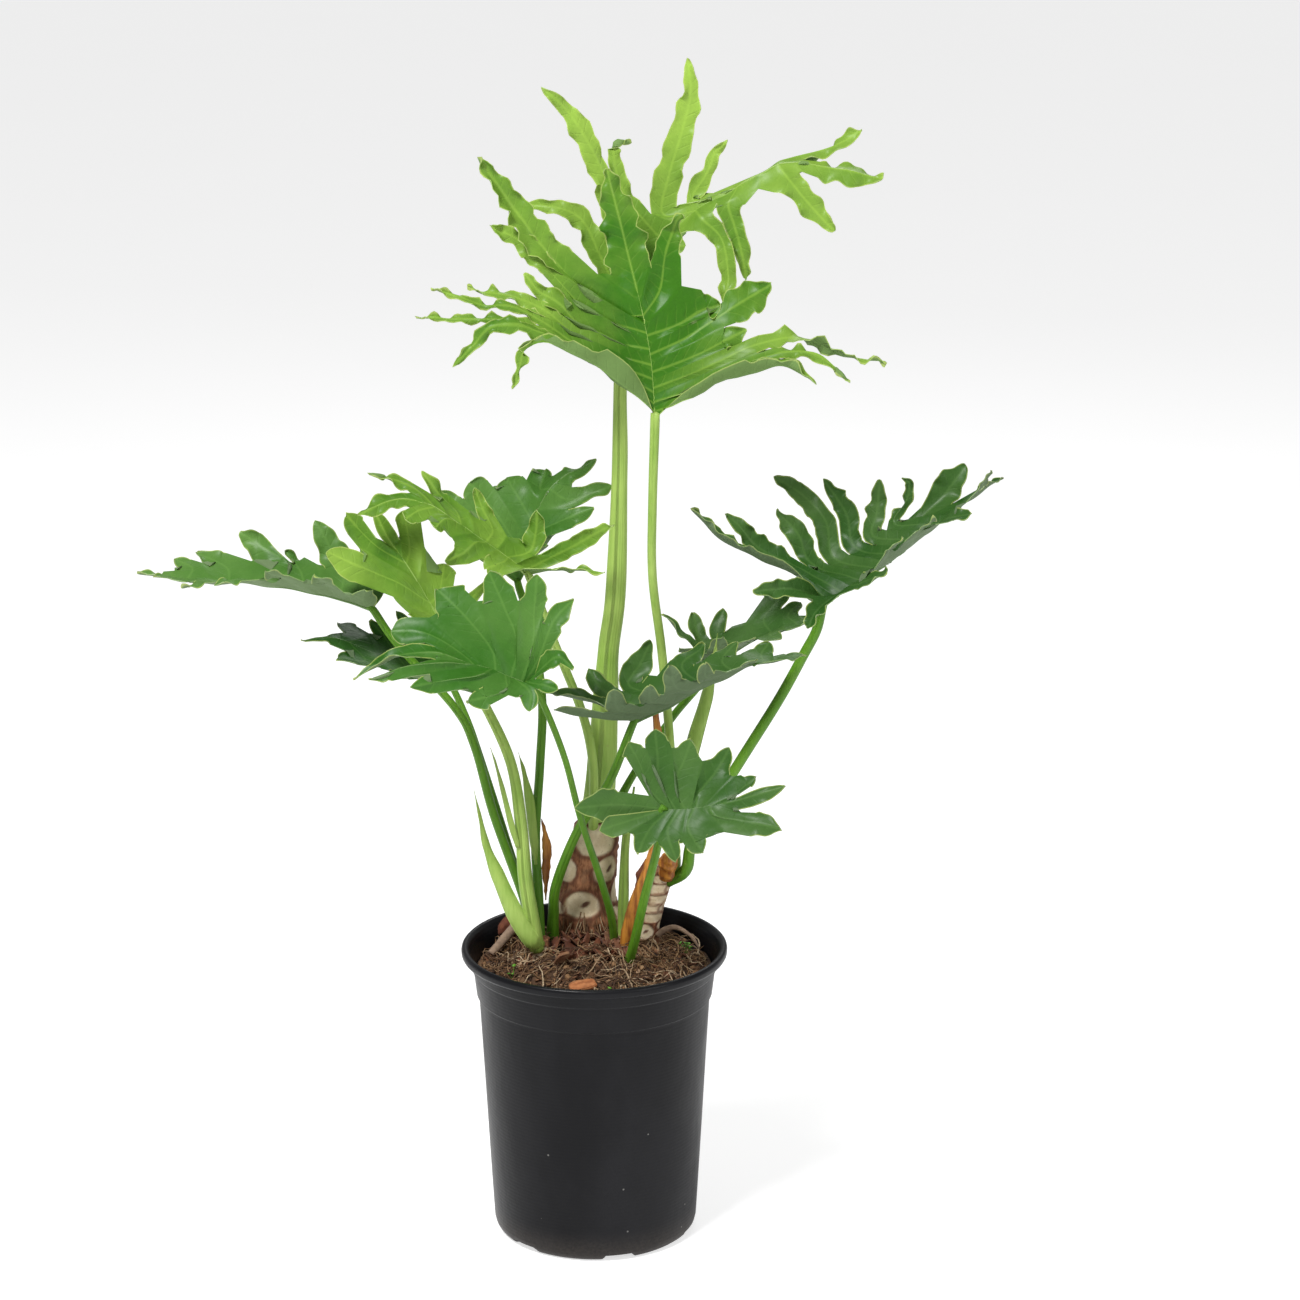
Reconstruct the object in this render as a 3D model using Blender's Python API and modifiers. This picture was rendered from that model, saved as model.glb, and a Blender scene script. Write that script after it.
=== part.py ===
"""A tree philodendron in a black nursery pot, built piece by piece.

The pot stands on z = 0 with its axis on the origin, and -Y is the front of the plant.
Every leaf is a petiole (the stalk) and a blade.  A blade is drawn by its ribs alone: one midrib and
one rib for each lobe.  The sheet between the ribs is lofted by blade_sheet.
Lengths in the tables are millimetres.
"""

import math

import bmesh
import bpy
from mathutils import Vector

MM = 0.001

# Pot.
POT_HEIGHT = 248
RIM_RADIUS = 110
BASE_RADIUS = 85
UPPER_STEP = 19
LOWER_STEP = 42
WALL = 2.0
FLOOR = 3.0
POT_STEPS = 48
NOTCHES = 6
NOTCH_WIDTH = 26
NOTCH_HEIGHT = 5.5
NOTCH_INNER_RADIUS = 72
FIRST_NOTCH_DEGREES = -75

# Linear colour and roughness.
FINISHES = {
    "pot_plastic": ((0.020, 0.022, 0.026), 0.42),
    "potting_mix": ((0.13, 0.075, 0.040), 0.95),
    "bark": ((0.30, 0.17, 0.10), 0.85),
    "wood": ((0.28, 0.18, 0.12), 0.8),
    "dry_sheath": ((0.42, 0.18, 0.03), 0.6),
    "green_stalk": ((0.07, 0.22, 0.03), 0.4),
    "pale_stalk": ((0.22, 0.42, 0.06), 0.4),
    "young_leaf": ((0.23, 0.45, 0.05), 0.4),
    "mid_leaf": ((0.10, 0.28, 0.05), 0.4),
    "dark_leaf": ((0.05, 0.17, 0.04), 0.4),
}

# Potting mix.
MOUND = [(0, 245), (38, 243), (62, 236), (RIM_RADIUS - 11 - WALL - 0.5, 228)]
SOCKET_PLAY = 3.0
SOCKET_SINK = 0.8
SOCKET_HEIGHT = 40
GAP = 0.3

# Blades.
BLADE_THICKNESS = 1.2
CURVE_STEPS = 24
ROWS_IN_WEB = 2
ROWS_IN_LOBE = 4
NOTCH_SHARPNESS = 3
TIP_BLUNTNESS = 2.2
ELBOW_ROOM = 0.45
FIRST_LOBE = 0.03
TERMINAL_GAP = 0.12
TERMINAL_WEB = 0.12


def clear_scene():
    for obj in list(bpy.data.objects):
        bpy.data.objects.remove(obj, do_unlink=True)


def new_collection(name, hidden=False):
    made = bpy.data.collections.new(name)
    made.hide_render = hidden
    bpy.context.scene.collection.children.link(made)
    return made


def material(name, colour, roughness):
    made = bpy.data.materials.new(name)
    made.use_nodes = True
    shader = made.node_tree.nodes["Principled BSDF"]
    shader.inputs["Base Color"].default_value = (*colour, 1.0)
    shader.inputs["Roughness"].default_value = roughness
    return made


def add_object(name, data, finish, collection):
    obj = bpy.data.objects.new(name, data)
    obj.data.materials.append(finish)
    collection.objects.link(obj)
    return obj


def mm(points):
    """Millimetre triples as vectors in metres."""
    return [Vector(p) * MM for p in points]


class Route:
    """A smooth curve through a few points, read by its share of the way along, from 0 to 1."""

    def __init__(self, points):
        self.points = points
        steps = [(b - a).length for a, b in zip(points, points[1:])]
        total = sum(steps)
        self.shares = [sum(steps[:i]) / total for i in range(len(points))]

    def at(self, share):
        share = min(max(share, 0.0), 1.0)
        last = len(self.points) - 2
        i = max(k for k in range(last + 1) if self.shares[k] <= share + 1e-9)
        a, b = self.points[i], self.points[i + 1]
        before = self.points[i - 1] if i > 0 else a * 2 - b
        after = self.points[i + 2] if i < last else b * 2 - a
        u = (share - self.shares[i]) / (self.shares[i + 1] - self.shares[i])
        return 0.5 * (
            a * 2
            + (b - before) * u
            + (before * 2 - a * 5 + b * 4 - after) * u**2
            + (a * 3 - before - b * 3 + after) * u**3
        )

    def along(self, share):
        """The direction of travel."""
        return (self.at(share + 0.02) - self.at(share - 0.02)).normalized()

    def distance(self, point):
        """How near the curve comes to a point."""
        return min((self.at(k / CURVE_STEPS) - point).length for k in range(CURVE_STEPS + 1))


# ---------------------------------------------------------------- pot and mix


def turned(name, profile, finish, collection, steps):
    """A closed solid of revolution.  The profile is (radius, height), from the axis back to the axis."""
    mesh = bpy.data.meshes.new(name)
    corners = [(radius * MM, 0, height * MM) for radius, height in profile]
    mesh.from_pydata(corners, [(i, i + 1) for i in range(len(corners) - 1)], [])
    obj = add_object(name, mesh, finish, collection)
    screw = obj.modifiers.new("turn", "SCREW")
    screw.steps = screw.render_steps = steps
    screw.use_merge_vertices = True
    screw.merge_threshold = 0.00005
    screw.use_smooth_shade = True
    return obj


def box_cutter(name, size, place, turn, collection):
    mesh = bpy.data.meshes.new(name)
    form = bmesh.new()
    bmesh.ops.create_cube(form, size=1.0)
    bmesh.ops.scale(form, vec=Vector(size) * MM, verts=form.verts)
    form.to_mesh(mesh)
    form.free()
    obj = bpy.data.objects.new(name, mesh)
    obj.location = Vector(place) * MM
    obj.rotation_euler = (0, 0, turn)
    hide_cutter(obj, collection)
    return obj


def hide_cutter(obj, collection):
    obj.hide_render = True
    obj.display_type = "WIRE"
    collection.objects.link(obj)


def cut(obj, cutter):
    made = obj.modifiers.new("cut_" + cutter.name, "BOOLEAN")
    made.operation = "DIFFERENCE"
    made.object = cutter


def make_pot(finish, parts, cutters):
    """A tapered pot with a rolled lip, two stepped bands and drain notches round its foot."""
    outside = [
        (RIM_RADIUS - 1.5, POT_HEIGHT),
        (RIM_RADIUS, POT_HEIGHT - 2),
        (RIM_RADIUS - 0.5, POT_HEIGHT - 7),
        (RIM_RADIUS - 7, POT_HEIGHT - 9),
        (RIM_RADIUS - 8.5, POT_HEIGHT - 18),
        (RIM_RADIUS - 9.5, POT_HEIGHT - UPPER_STEP),
        (RIM_RADIUS - 12.5, POT_HEIGHT - 41),
        (RIM_RADIUS - 14, POT_HEIGHT - LOWER_STEP),
        (BASE_RADIUS, 10),
        (BASE_RADIUS - 4, 2),
        (BASE_RADIUS - 7, 0),
    ]
    inside = [
        (BASE_RADIUS - 7, FLOOR),
        (BASE_RADIUS - WALL, 11),
        (RIM_RADIUS - 14 - WALL, POT_HEIGHT - 43),
        (RIM_RADIUS - 12.5 - WALL, POT_HEIGHT - 41),
        (RIM_RADIUS - 9.5 - WALL, POT_HEIGHT - UPPER_STEP),
        (RIM_RADIUS - 9, POT_HEIGHT - 8),
        (RIM_RADIUS - 5, POT_HEIGHT - 1),
    ]
    profile = [(0, FLOOR), *inside, *outside, (0, 0)]
    pot = turned("pot", profile, finish, parts, POT_STEPS)
    depth = BASE_RADIUS - NOTCH_INNER_RADIUS + 4
    reach = NOTCH_INNER_RADIUS + depth / 2
    for i in range(NOTCHES):
        turn = math.radians(FIRST_NOTCH_DEGREES + i * 360 / NOTCHES)
        place = (reach * math.cos(turn), reach * math.sin(turn), NOTCH_HEIGHT / 2 - 2)
        size = (depth, NOTCH_WIDTH, NOTCH_HEIGHT + 4)
        cut(pot, box_cutter(f"notch_{i + 1}", size, place, turn, cutters))
    return pot


def mix_level(radius):
    """Height of the mix at a distance from the axis: it is mounded round the trunks."""
    for (r0, z0), (r1, z1) in zip(MOUND, MOUND[1:]):
        if radius <= r1:
            return z0 + (z1 - z0) * (radius - r0) / (r1 - r0)
    return MOUND[-1][1]


def make_potting_mix(finish, parts, cutters, feet):
    """The mix fills the pot to a finger's width below the lip, with a socket for each foot.
    A foot is (name, x, y, z, radius)."""
    profile = [
        *MOUND,
        (RIM_RADIUS - 15 - WALL - GAP, POT_HEIGHT - 46),
        (BASE_RADIUS - WALL - GAP, 12),
        (BASE_RADIUS - 8, FLOOR + GAP),
        (0, FLOOR + GAP),
    ]
    mix = turned("potting_mix", profile, finish, parts, 32)
    for name, x, y, z, radius in feet:
        if z > mix_level(math.hypot(x, y)) + 1:
            continue
        bpy.ops.mesh.primitive_cylinder_add(
            vertices=16, radius=(radius + SOCKET_PLAY) * MM, depth=SOCKET_HEIGHT * MM
        )
        cutter = bpy.context.object
        cutter.name = "socket_" + name
        cutter.location = Vector((x, y, z - GAP - SOCKET_SINK * radius + SOCKET_HEIGHT / 2)) * MM
        for home in list(cutter.users_collection):
            home.objects.unlink(cutter)
        hide_cutter(cutter, cutters)
        cut(mix, cutter)
    return mix


# ---------------------------------------------------------------- stems


def stalk(name, route, finish, parts, sides=2, spacing=18, flat=None):
    """A round stalk.  The route is (x, y, z, radius), and the curve between its points is smooth.
    flat is (squeeze, angle): the section is squeezed to that share, for a strap-like sheath."""
    path = Route(mm([p[:3] for p in route]))
    sizes = [p[3] * MM for p in route]
    length = sum((b - a).length for a, b in zip(path.points, path.points[1:]))
    count = max(3, round(length / (spacing * MM)))
    curve = bpy.data.curves.new(name, "CURVE")
    curve.dimensions = "3D"
    curve.bevel_depth = 1.0
    curve.bevel_resolution = sides
    curve.use_fill_caps = True
    curve.twist_mode = "MINIMUM"
    spline = curve.splines.new("POLY")
    spline.points.add(count)
    for i, point in enumerate(spline.points):
        share = i / count
        k = max(j for j in range(len(sizes) - 1) if path.shares[j] <= share + 1e-9)
        u = (share - path.shares[k]) / (path.shares[k + 1] - path.shares[k])
        point.co = (*path.at(share), 1.0)
        point.radius = sizes[k] + (sizes[k + 1] - sizes[k]) * u
    obj = add_object(name, curve, finish, parts)
    if flat:
        squeeze_section(obj, path, *flat)
    return obj


def squeeze_section(obj, path, share, direction):
    """Turns the stalk into a mesh and squeezes it towards its own centre line, along one direction."""
    graph = bpy.context.evaluated_depsgraph_get()
    mesh = bpy.data.meshes.new_from_object(obj.evaluated_get(graph))
    form = bmesh.new()
    form.from_mesh(mesh)
    bmesh.ops.remove_doubles(form, verts=form.verts, dist=0.000005)
    centres = [path.at(i / 60) for i in range(61)]
    axis = Vector(direction).normalized()
    for vertex in form.verts:
        nearest = min(centres, key=lambda c: (c - vertex.co).length)
        off = (vertex.co - nearest).dot(axis)
        vertex.co -= axis * off * (1 - share)
    form.to_mesh(mesh)
    form.free()
    name, finish, home = obj.name, obj.data.materials[0], obj.users_collection[0]
    bpy.data.objects.remove(obj)
    made = bpy.data.objects.new(name, mesh)
    mesh.materials.clear()
    mesh.materials.append(finish)
    home.objects.link(made)


# ---------------------------------------------------------------- blades


def lobe_half(costa, seam, web, width, neighbour=None):
    """Rib points and edge points of one half of a lobe, from the midrib to its tip.

    Up to the notch the edge is the seam, which the next lobe shares.  Beyond it the edge leaves the
    rib by the lobe's own width, or by less where the next lobe's rib is near, and closes on the tip.
    """
    ribs = [costa.at(web * row / ROWS_IN_WEB) for row in range(ROWS_IN_WEB + 1)]
    edges = list(seam)
    reach = seam[-1] - costa.at(web)
    for row in range(1, ROWS_IN_LOBE + 1):
        u = row / ROWS_IN_LOBE
        share = web + (1 - web) * u
        along = costa.along(share)
        side = reach - along * reach.dot(along)
        full = width + (side.length - width) * (1 - u) ** NOTCH_SHARPNESS
        if neighbour:
            full = min(full, ELBOW_ROOM * neighbour.distance(costa.at(share)))
        ribs.append(costa.at(share))
        taper = math.sqrt(max(0.0, 1 - u**TIP_BLUNTNESS))
        edges.append(costa.at(share) + side.normalized() * full * taper)
    return ribs, edges


def seam_between(start, a, b, depth):
    """The line from the midrib to the notch between two lobes, whose ribs are at a and b there."""
    notch = start.lerp((a + b) / 2, depth)
    return [start.lerp(notch, row / ROWS_IN_WEB) for row in range(ROWS_IN_WEB + 1)]


def free_seam(start, costa, web, width, neighbour, leaf, hand):
    """The margin beside the petiole, which no other lobe shares and which may fold upwards."""
    along = costa.along(web)
    across = neighbour - costa.at(web)
    out = (across - along * across.dot(along)).normalized()
    up = out.cross(along) * hand
    away = up * math.sin(leaf["fold"]) - out * math.cos(leaf["fold"])
    flap = leaf["flap"] * MM
    notch = costa.at(web) + away * max(width, flap)
    seam = []
    for row in range(ROWS_IN_WEB + 1):
        u = row / ROWS_IN_WEB
        seam.append(start.lerp(notch, u) + away * 0.5 * flap * math.sin(math.pi * u))
    return seam


class Sheet:
    """Faces of a blade, with points that coincide made one."""

    def __init__(self):
        self.points, self.faces, self.index = [], [], {}

    def add(self, point):
        key = tuple(round(c * 1e6) for c in point)
        if key not in self.index:
            self.index[key] = len(self.points)
            self.points.append(point)
        return self.index[key]

    def strip(self, ribs, edges, flip):
        for i in range(len(ribs) - 1):
            ring = [self.add(p) for p in (ribs[i], edges[i], edges[i + 1], ribs[i + 1])]
            face = [v for k, v in enumerate(ring) if v != ring[k - 1]]
            if len(set(face)) > 2:
                self.faces.append(face[::-1] if flip else face)


def lobe_shares(count, leaf):
    """Where the lobes leave the midrib: closer together near the petiole."""
    spread, crowd = leaf["spread"], leaf["crowd"]
    return [FIRST_LOBE + spread * (i / (count - 1)) ** crowd for i in range(count)]


def grow_side(sheet, midrib, leaf, side, hand):
    """Lofts the lobes on one side of the midrib, and half of the lobe at its end."""
    lobes, deep = leaf[side], leaf["sinus"].get(side, {})
    count = len(lobes)
    last = leaf["spread"] + TERMINAL_GAP
    shares = [*lobe_shares(count, leaf), last]
    costae = [Route([midrib.at(share), *mm(lobe[2:])]) for share, lobe in zip(shares, lobes)]
    costae.append(Route([midrib.at(last + (1 - last) * i / 4) for i in range(5)]))
    widths = [*(lobe[0] * MM for lobe in lobes), leaf["tip_width"] * MM]
    webs = [*(lobe[1] for lobe in lobes), TERMINAL_WEB]
    seams = []
    for i in range(count):
        start = midrib.at((shares[i] + shares[i + 1]) / 2)
        a, b = costae[i].at(webs[i]), costae[i + 1].at(webs[i + 1])
        seams.append(seam_between(start, a, b, deep.get(i, 1)))
    free = free_seam(midrib.at(0), costae[0], webs[0], widths[0], seams[0][-1], leaf, hand)
    for i in range(count + 1):
        lower, before = (seams[i - 1], costae[i - 1]) if i else (free, None)
        near = None if leaf["overlapping"] else before
        sheet.strip(*lobe_half(costae[i], lower, webs[i], widths[i], near), flip=hand > 0)
        if i < count:
            near = None if leaf["overlapping"] else costae[i + 1]
            sheet.strip(*lobe_half(costae[i], seams[i], webs[i], widths[i], near), flip=hand < 0)


def blade_sheet(leaf):
    """Lofts one blade from its ribs."""
    midrib = Route(mm([leaf["base"], *leaf["midrib"]]))
    sheet = Sheet()
    grow_side(sheet, midrib, leaf, "left", 1)
    grow_side(sheet, midrib, leaf, "right", -1)
    return sheet


def make_blade(leaf, finish, parts):
    sheet = blade_sheet(leaf)
    mesh = bpy.data.meshes.new(leaf["name"])
    mesh.from_pydata(sheet.points, [], sheet.faces)
    mesh.shade_smooth()
    obj = add_object(leaf["name"], mesh, finish, parts)
    thick = obj.modifiers.new("thickness", "SOLIDIFY")
    thick.thickness = BLADE_THICKNESS * MM
    thick.offset = 0
    return obj


# A lobe is [half width, share of its rib inside the web, rib points from the midrib outwards ...].
# left and right are as seen when looking along the midrib from the petiole with the upper face up,
# petiole end first.  spread and crowd set where the ribs leave the midrib; fold and flap turn up the
# margin beside the petiole; sinus lists the notches that reach deeper than the web.  The lobes of an
# overlapping leaf keep their full width where they crowd, and the others give way to each other.
LEAVES = [
    {
        "name": "blade_top_front",
        "finish": "young_leaf",
        "base": (50, -10, 692),
        "midrib": [(47, -4, 736), (40, 2, 775), (30, 8, 815), (22, 10, 848), (12, 12, 887)],
        "tip_width": 17,
        "spread": 0.38,
        "crowd": 1.3,
        "fold": 1.5,
        "flap": 16,
        "overlapping": True,
        "sinus": {"left": {6: 0.9}, "right": {5: 0.9}},
        "left": [
            [7, 0.4, (18, -22, 727), (-25, -30, 755), (-50, -34, 752), (-56, -35, 737), (-61, -36, 721)],
            [7, 0.48, (12, -20, 733), (-40, -26, 765), (-75, -30, 770), (-92, -32, 755), (-108, -34, 738)],
            [5, 0.5, (8, -16, 738), (-50, -20, 770), (-95, -18, 774), (-138, -18, 775)],
            [5, 0.5, (5, -12, 742), (-50, -12, 778), (-85, -10, 784), (-126, -8, 796)],
            [7, 0.55, (3, -6, 748), (-40, -4, 780), (-70, -2, 790), (-98, 2, 797)],
            [8, 0.6, (4, 0, 755), (-25, 2, 782), (-42, 4, 792), (-53, 6, 806)],
            [9, 0.6, (2, 4, 772), (-25, 6, 798), (-52, 8, 828), (-80, 8, 843)],
            [13, 0.42, (14, 6, 772), (-12, 8, 796), (-38, 8, 826), (-60, 10, 856), (-88, 8, 897)],
        ],
        "right": [
            [8, 0.6, (70, -22, 708), (105, -28, 729), (150, -32, 739), (176, -34, 724)],
            [6, 0.6, (80, -18, 718), (125, -22, 741), (165, -24, 749), (190, -26, 738), (203, -28, 725)],
            [9, 0.42, (86, -12, 732), (130, -12, 752), (165, -12, 758), (200, -14, 745), (232, -16, 738)],
            [9, 0.72, (82, -6, 742), (108, -6, 755), (122, -6, 763)],
            [15, 0.62, (74, 0, 755), (105, 2, 775), (128, 4, 789), (142, 4, 797)],
            [10, 0.82, (68, 4, 765), (86, 6, 776), (101, 8, 780)],
            [9, 0.6, (54, 8, 792), (58, 10, 820), (64, 12, 838), (70, 12, 852)],
        ],
    },
    {
        "name": "blade_top_back",
        "finish": "young_leaf",
        "base": (24, 45, 762),
        "midrib": [
            (45, 50, 805), (72, 52, 840), (105, 50, 862), (132, 46, 878), (162, 44, 888), (230, 40, 876)],
        "tip_width": 13,
        "spread": 0.66,
        "crowd": 1.15,
        "fold": 0.4,
        "flap": 0,
        "overlapping": False,
        "sinus": {},
        "left": [
            [9, 0.2, (8, 52, 808), (-8, 56, 840), (-30, 58, 850), (-57, 58, 852)],
            [11, 0.12, (20, 54, 840), (12, 56, 870), (-2, 56, 900), (-20, 54, 928), (-40, 52, 946)],
            [7, 0.3, (26, 58, 860), (17, 60, 894), (22, 62, 903), (31, 64, 901)],
            [11, 0.16, (56, 58, 845), (61, 60, 875), (72, 62, 912), (78, 62, 940), (76, 62, 968)],
            [7, 0.16, (80, 58, 856), (92, 60, 878), (98, 62, 893), (108, 62, 903)],
            [8, 0.3, (150, 52, 889), (185, 54, 897), (214, 56, 912)],
        ],
        "right": [
            [7, 0.5, (32, 38, 780), (38, 34, 783)],
            [9, 0.5, (50, 38, 796), (60, 34, 808)],
            [7, 0.5, (66, 42, 822), (74, 38, 822)],
            [8, 0.12, (88, 38, 843), (103, 32, 828), (108, 28, 800), (107, 24, 782), (122, 22, 766)],
            [8, 0.16, (108, 42, 855), (113, 40, 838), (119, 38, 816), (123, 38, 794)],
            [10, 0.2, (155, 38, 876), (170, 36, 858), (192, 34, 834)],
        ],
    },
    {
        "name": "blade_right",
        "finish": "dark_leaf",
        "base": (186, 10, 535),
        "midrib": [(214, 12, 555), (255, 18, 582), (295, 22, 614), (331, 25, 636)],
        "tip_width": 11,
        "spread": 0.72,
        "crowd": 1.15,
        "fold": 1.2,
        "flap": 11,
        "overlapping": False,
        "sinus": {},
        "left": [
            [10, 0.36, (164, 24, 557), (134, 28, 569), (104, 30, 586), (80, 32, 610)],
            [10, 0.42, (165, 34, 562), (136, 42, 574), (118, 46, 592), (108, 48, 602)],
            [12, 0.34, (178, 40, 562), (168, 50, 582), (158, 56, 594), (149, 60, 602)],
            [13, 0.3, (196, 44, 566), (190, 56, 592), (172, 66, 612), (147, 70, 628)],
            [11, 0.32, (214, 44, 574), (207, 56, 598), (197, 62, 614), (187, 65, 627)],
            [10, 0.36, (228, 42, 584), (231, 52, 602), (233, 58, 628)],
            [5, 0.5, (244, 38, 596), (255, 44, 616), (256, 46, 628), (250, 46, 632)],
            [16, 0.55, (258, 34, 592), (282, 40, 616), (302, 44, 643)],
        ],
        "right": [
            [8, 0.5, (160, -4, 552), (128, -16, 553)],
            [8, 0.5, (181, -12, 537), (172, -28, 526)],
            [9, 0.55, (208, -10, 556), (234, -30, 574)],
            [7, 0.6, (236, -6, 580), (246, -22, 600)],
            [6, 0.6, (258, -2, 596), (273, -16, 614)],
            [7, 0.6, (284, 6, 608), (302, -8, 614)],
            [6, 0.6, (308, 12, 632), (318, 6, 648)],
        ],
    },
    {
        "name": "blade_right_low",
        "finish": "dark_leaf",
        "base": (33, -20, 445),
        "midrib": [(60, -22, 459), (100, -20, 480), (140, -15, 494), (172, -10, 497)],
        "tip_width": 9,
        "spread": 0.74,
        "crowd": 1.15,
        "fold": 1.1,
        "flap": 12,
        "overlapping": False,
        "sinus": {},
        "left": [
            [10, 0.5, (0, -6, 458), (-42, 4, 463)],
            [10, 0.55, (10, 2, 464), (-4, 18, 479)],
            [12, 0.5, (30, 4, 468), (38, 14, 484), (47, 20, 502)],
            [10, 0.6, (72, 4, 484), (90, 18, 500)],
            [9, 0.6, (104, 0, 492), (117, 16, 502)],
            [8, 0.6, (136, 0, 497), (143, 11, 503)],
        ],
        "right": [
            [9, 0.6, (5, -34, 452), (-31, -42, 462)],
            [9, 0.6, (22, -38, 460), (18, -52, 482)],
            [9, 0.6, (48, -38, 467), (45, -50, 484)],
            [9, 0.6, (68, -36, 478), (62, -46, 500)],
            [8, 0.6, (92, -32, 486), (90, -42, 500)],
            [8, 0.6, (122, -24, 494), (132, -32, 500)],
        ],
    },
    {
        "name": "blade_right_back",
        "finish": "dark_leaf",
        "base": (96, 60, 468),
        "midrib": [(127, 60, 489), (157, 60, 504), (188, 55, 513)],
        "tip_width": 8,
        "spread": 0.74,
        "crowd": 1.15,
        "fold": 0.6,
        "flap": 6,
        "overlapping": False,
        "sinus": {},
        "left": [
            [7, 0.5, (80, 68, 488), (56, 75, 510)],
            [9, 0.55, (88, 76, 488), (82, 86, 508)],
            [8, 0.5, (102, 76, 490), (108, 90, 511)],
            [13, 0.6, (140, 74, 506), (150, 80, 518), (162, 85, 530)],
            [8, 0.6, (160, 70, 510), (171, 80, 519)],
        ],
        "right": [
            [8, 0.6, (85, 50, 478), (70, 45, 490)],
            [8, 0.6, (103, 47, 486), (106, 42, 501)],
            [8, 0.6, (122, 47, 493), (131, 38, 500)],
            [7, 0.6, (145, 48, 499), (153, 38, 499)],
            [6, 0.6, (168, 50, 508), (176, 44, 514)],
        ],
    },
    {
        "name": "blade_left_far",
        "finish": "mid_leaf",
        "base": (-178, 5, 533),
        "midrib": [(-216, 8, 545), (-262, 12, 550), (-312, 15, 555), (-368, 15, 560)],
        "tip_width": 6,
        "spread": 0.76,
        "crowd": 1.15,
        "fold": 0.9,
        "flap": 8,
        "overlapping": False,
        "sinus": {},
        "left": [
            [9, 0.6, (-184, -12, 546), (-182, -22, 556)],
            [9, 0.6, (-212, -6, 555), (-222, -18, 568)],
            [8, 0.6, (-248, -4, 560), (-262, -14, 570)],
            [8, 0.6, (-282, -4, 560), (-302, -20, 559)],
            [7, 0.6, (-308, -4, 556), (-328, -20, 557)],
            [6, 0.6, (-338, 4, 559), (-352, -8, 562)],
        ],
        "right": [
            [9, 0.65, (-176, 22, 546), (-168, 36, 547)],
            [12, 0.42, (-203, 28, 556), (-216, 42, 578), (-227, 50, 596)],
            [7, 0.7, (-238, 28, 560), (-251, 40, 572)],
            [14, 0.48, (-246, 30, 562), (-268, 42, 574), (-288, 50, 585)],
            [9, 0.6, (-298, 30, 562), (-323, 45, 570)],
            [6, 0.65, (-325, 24, 562), (-340, 34, 567)],
        ],
    },
    {
        "name": "blade_left_low",
        "finish": "dark_leaf",
        "base": (-115, 25, 460),
        "midrib": [(-152, 28, 478), (-188, 30, 494), (-212, 30, 502), (-239, 30, 500)],
        "tip_width": 4,
        "spread": 0.66,
        "crowd": 1.15,
        "fold": 0.4,
        "flap": 0,
        "overlapping": False,
        "sinus": {},
        "left": [
            [8, 0.6, (-129, 18, 464), (-124, 12, 466)],
            [9, 0.65, (-154, 12, 478), (-162, -4, 482)],
            [12, 0.7, (-186, 18, 486), (-208, 8, 490)],
        ],
        "right": [
            [7, 0.6, (-138, 44, 484), (-162, 54, 519)],
            [6, 0.65, (-168, 44, 494), (-184, 55, 510)],
            [12, 0.7, (-190, 44, 500), (-210, 55, 508)],
        ],
    },
    {
        "name": "blade_left_bright",
        "finish": "young_leaf",
        "base": (-118, 0, 508),
        "midrib": [(-123, 0, 523), (-136, 2, 548), (-151, 4, 572), (-164, 7, 590), (-175, 12, 612)],
        "tip_width": 10,
        "spread": 0.56,
        "crowd": 1.15,
        "fold": 0.2,
        "flap": 0,
        "overlapping": False,
        "sinus": {},
        "left": [
            [7, 0.6, (-132, -3, 518), (-148, -8, 532)],
            [14, 0.66, (-156, -2, 556), (-184, -7, 570), (-212, -10, 584)],
            [9, 0.78, (-172, 3, 584), (-186, 3, 598), (-198, 3, 612)],
        ],
        "right": [
            [5, 0.45, (-112, 6, 524), (-100, 8, 538), (-85, 10, 555)],
            [10, 0.8, (-124, 8, 545), (-120, 12, 568)],
            [13, 0.84, (-147, 12, 582), (-152, 17, 611)],
        ],
    },
    {
        "name": "blade_left_high",
        "finish": "young_leaf",
        "base": (-52, 10, 560),
        "midrib": [
            (-65, 5, 574), (-82, 2, 587), (-104, -2, 604), (-129, -6, 621), (-157, -12, 628), (-186, -24, 616)],
        "tip_width": 9,
        "spread": 0.56,
        "crowd": 1.15,
        "fold": 0.3,
        "flap": 0,
        "overlapping": False,
        "sinus": {},
        "left": [
            [5, 0.35, (-34, 4, 566), (-12, -4, 568), (10, -8, 567)],
            [12, 0.7, (-72, -6, 574), (-84, -18, 572)],
            [8, 0.62, (-93, -10, 592), (-104, -18, 584), (-118, -24, 580)],
            [8, 0.8, (-116, -12, 612), (-124, -22, 607)],
            [7, 0.8, (-138, -14, 619), (-148, -22, 614)],
        ],
        "right": [
            [7, 0.32, (-38, 12, 572), (-14, 8, 585), (4, 2, 597), (18, -3, 605)],
            [9, 0.3, (-51, 16, 578), (-46, 20, 594), (-45, 22, 612)],
            [6, 0.45, (-80, 12, 597), (-88, 16, 612), (-95, 18, 630)],
            [6, 0.5, (-110, 8, 616), (-125, 12, 629), (-137, 14, 645)],
            [5, 0.4, (-142, 2, 632), (-162, 2, 643), (-178, -2, 647)],
        ],
    },
    {
        "name": "blade_left_back",
        "finish": "mid_leaf",
        "base": (-62, 55, 540),
        "midrib": [(-58, 60, 575), (-45, 64, 604), (-25, 68, 628), (2, 72, 642)],
        "tip_width": 9,
        "spread": 0.62,
        "crowd": 1.15,
        "fold": 0.2,
        "flap": 0,
        "overlapping": False,
        "sinus": {},
        "left": [
            [16, 0.85, (-92, 62, 574), (-128, 66, 614)],
            [14, 0.88, (-82, 68, 600), (-102, 74, 622)],
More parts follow.
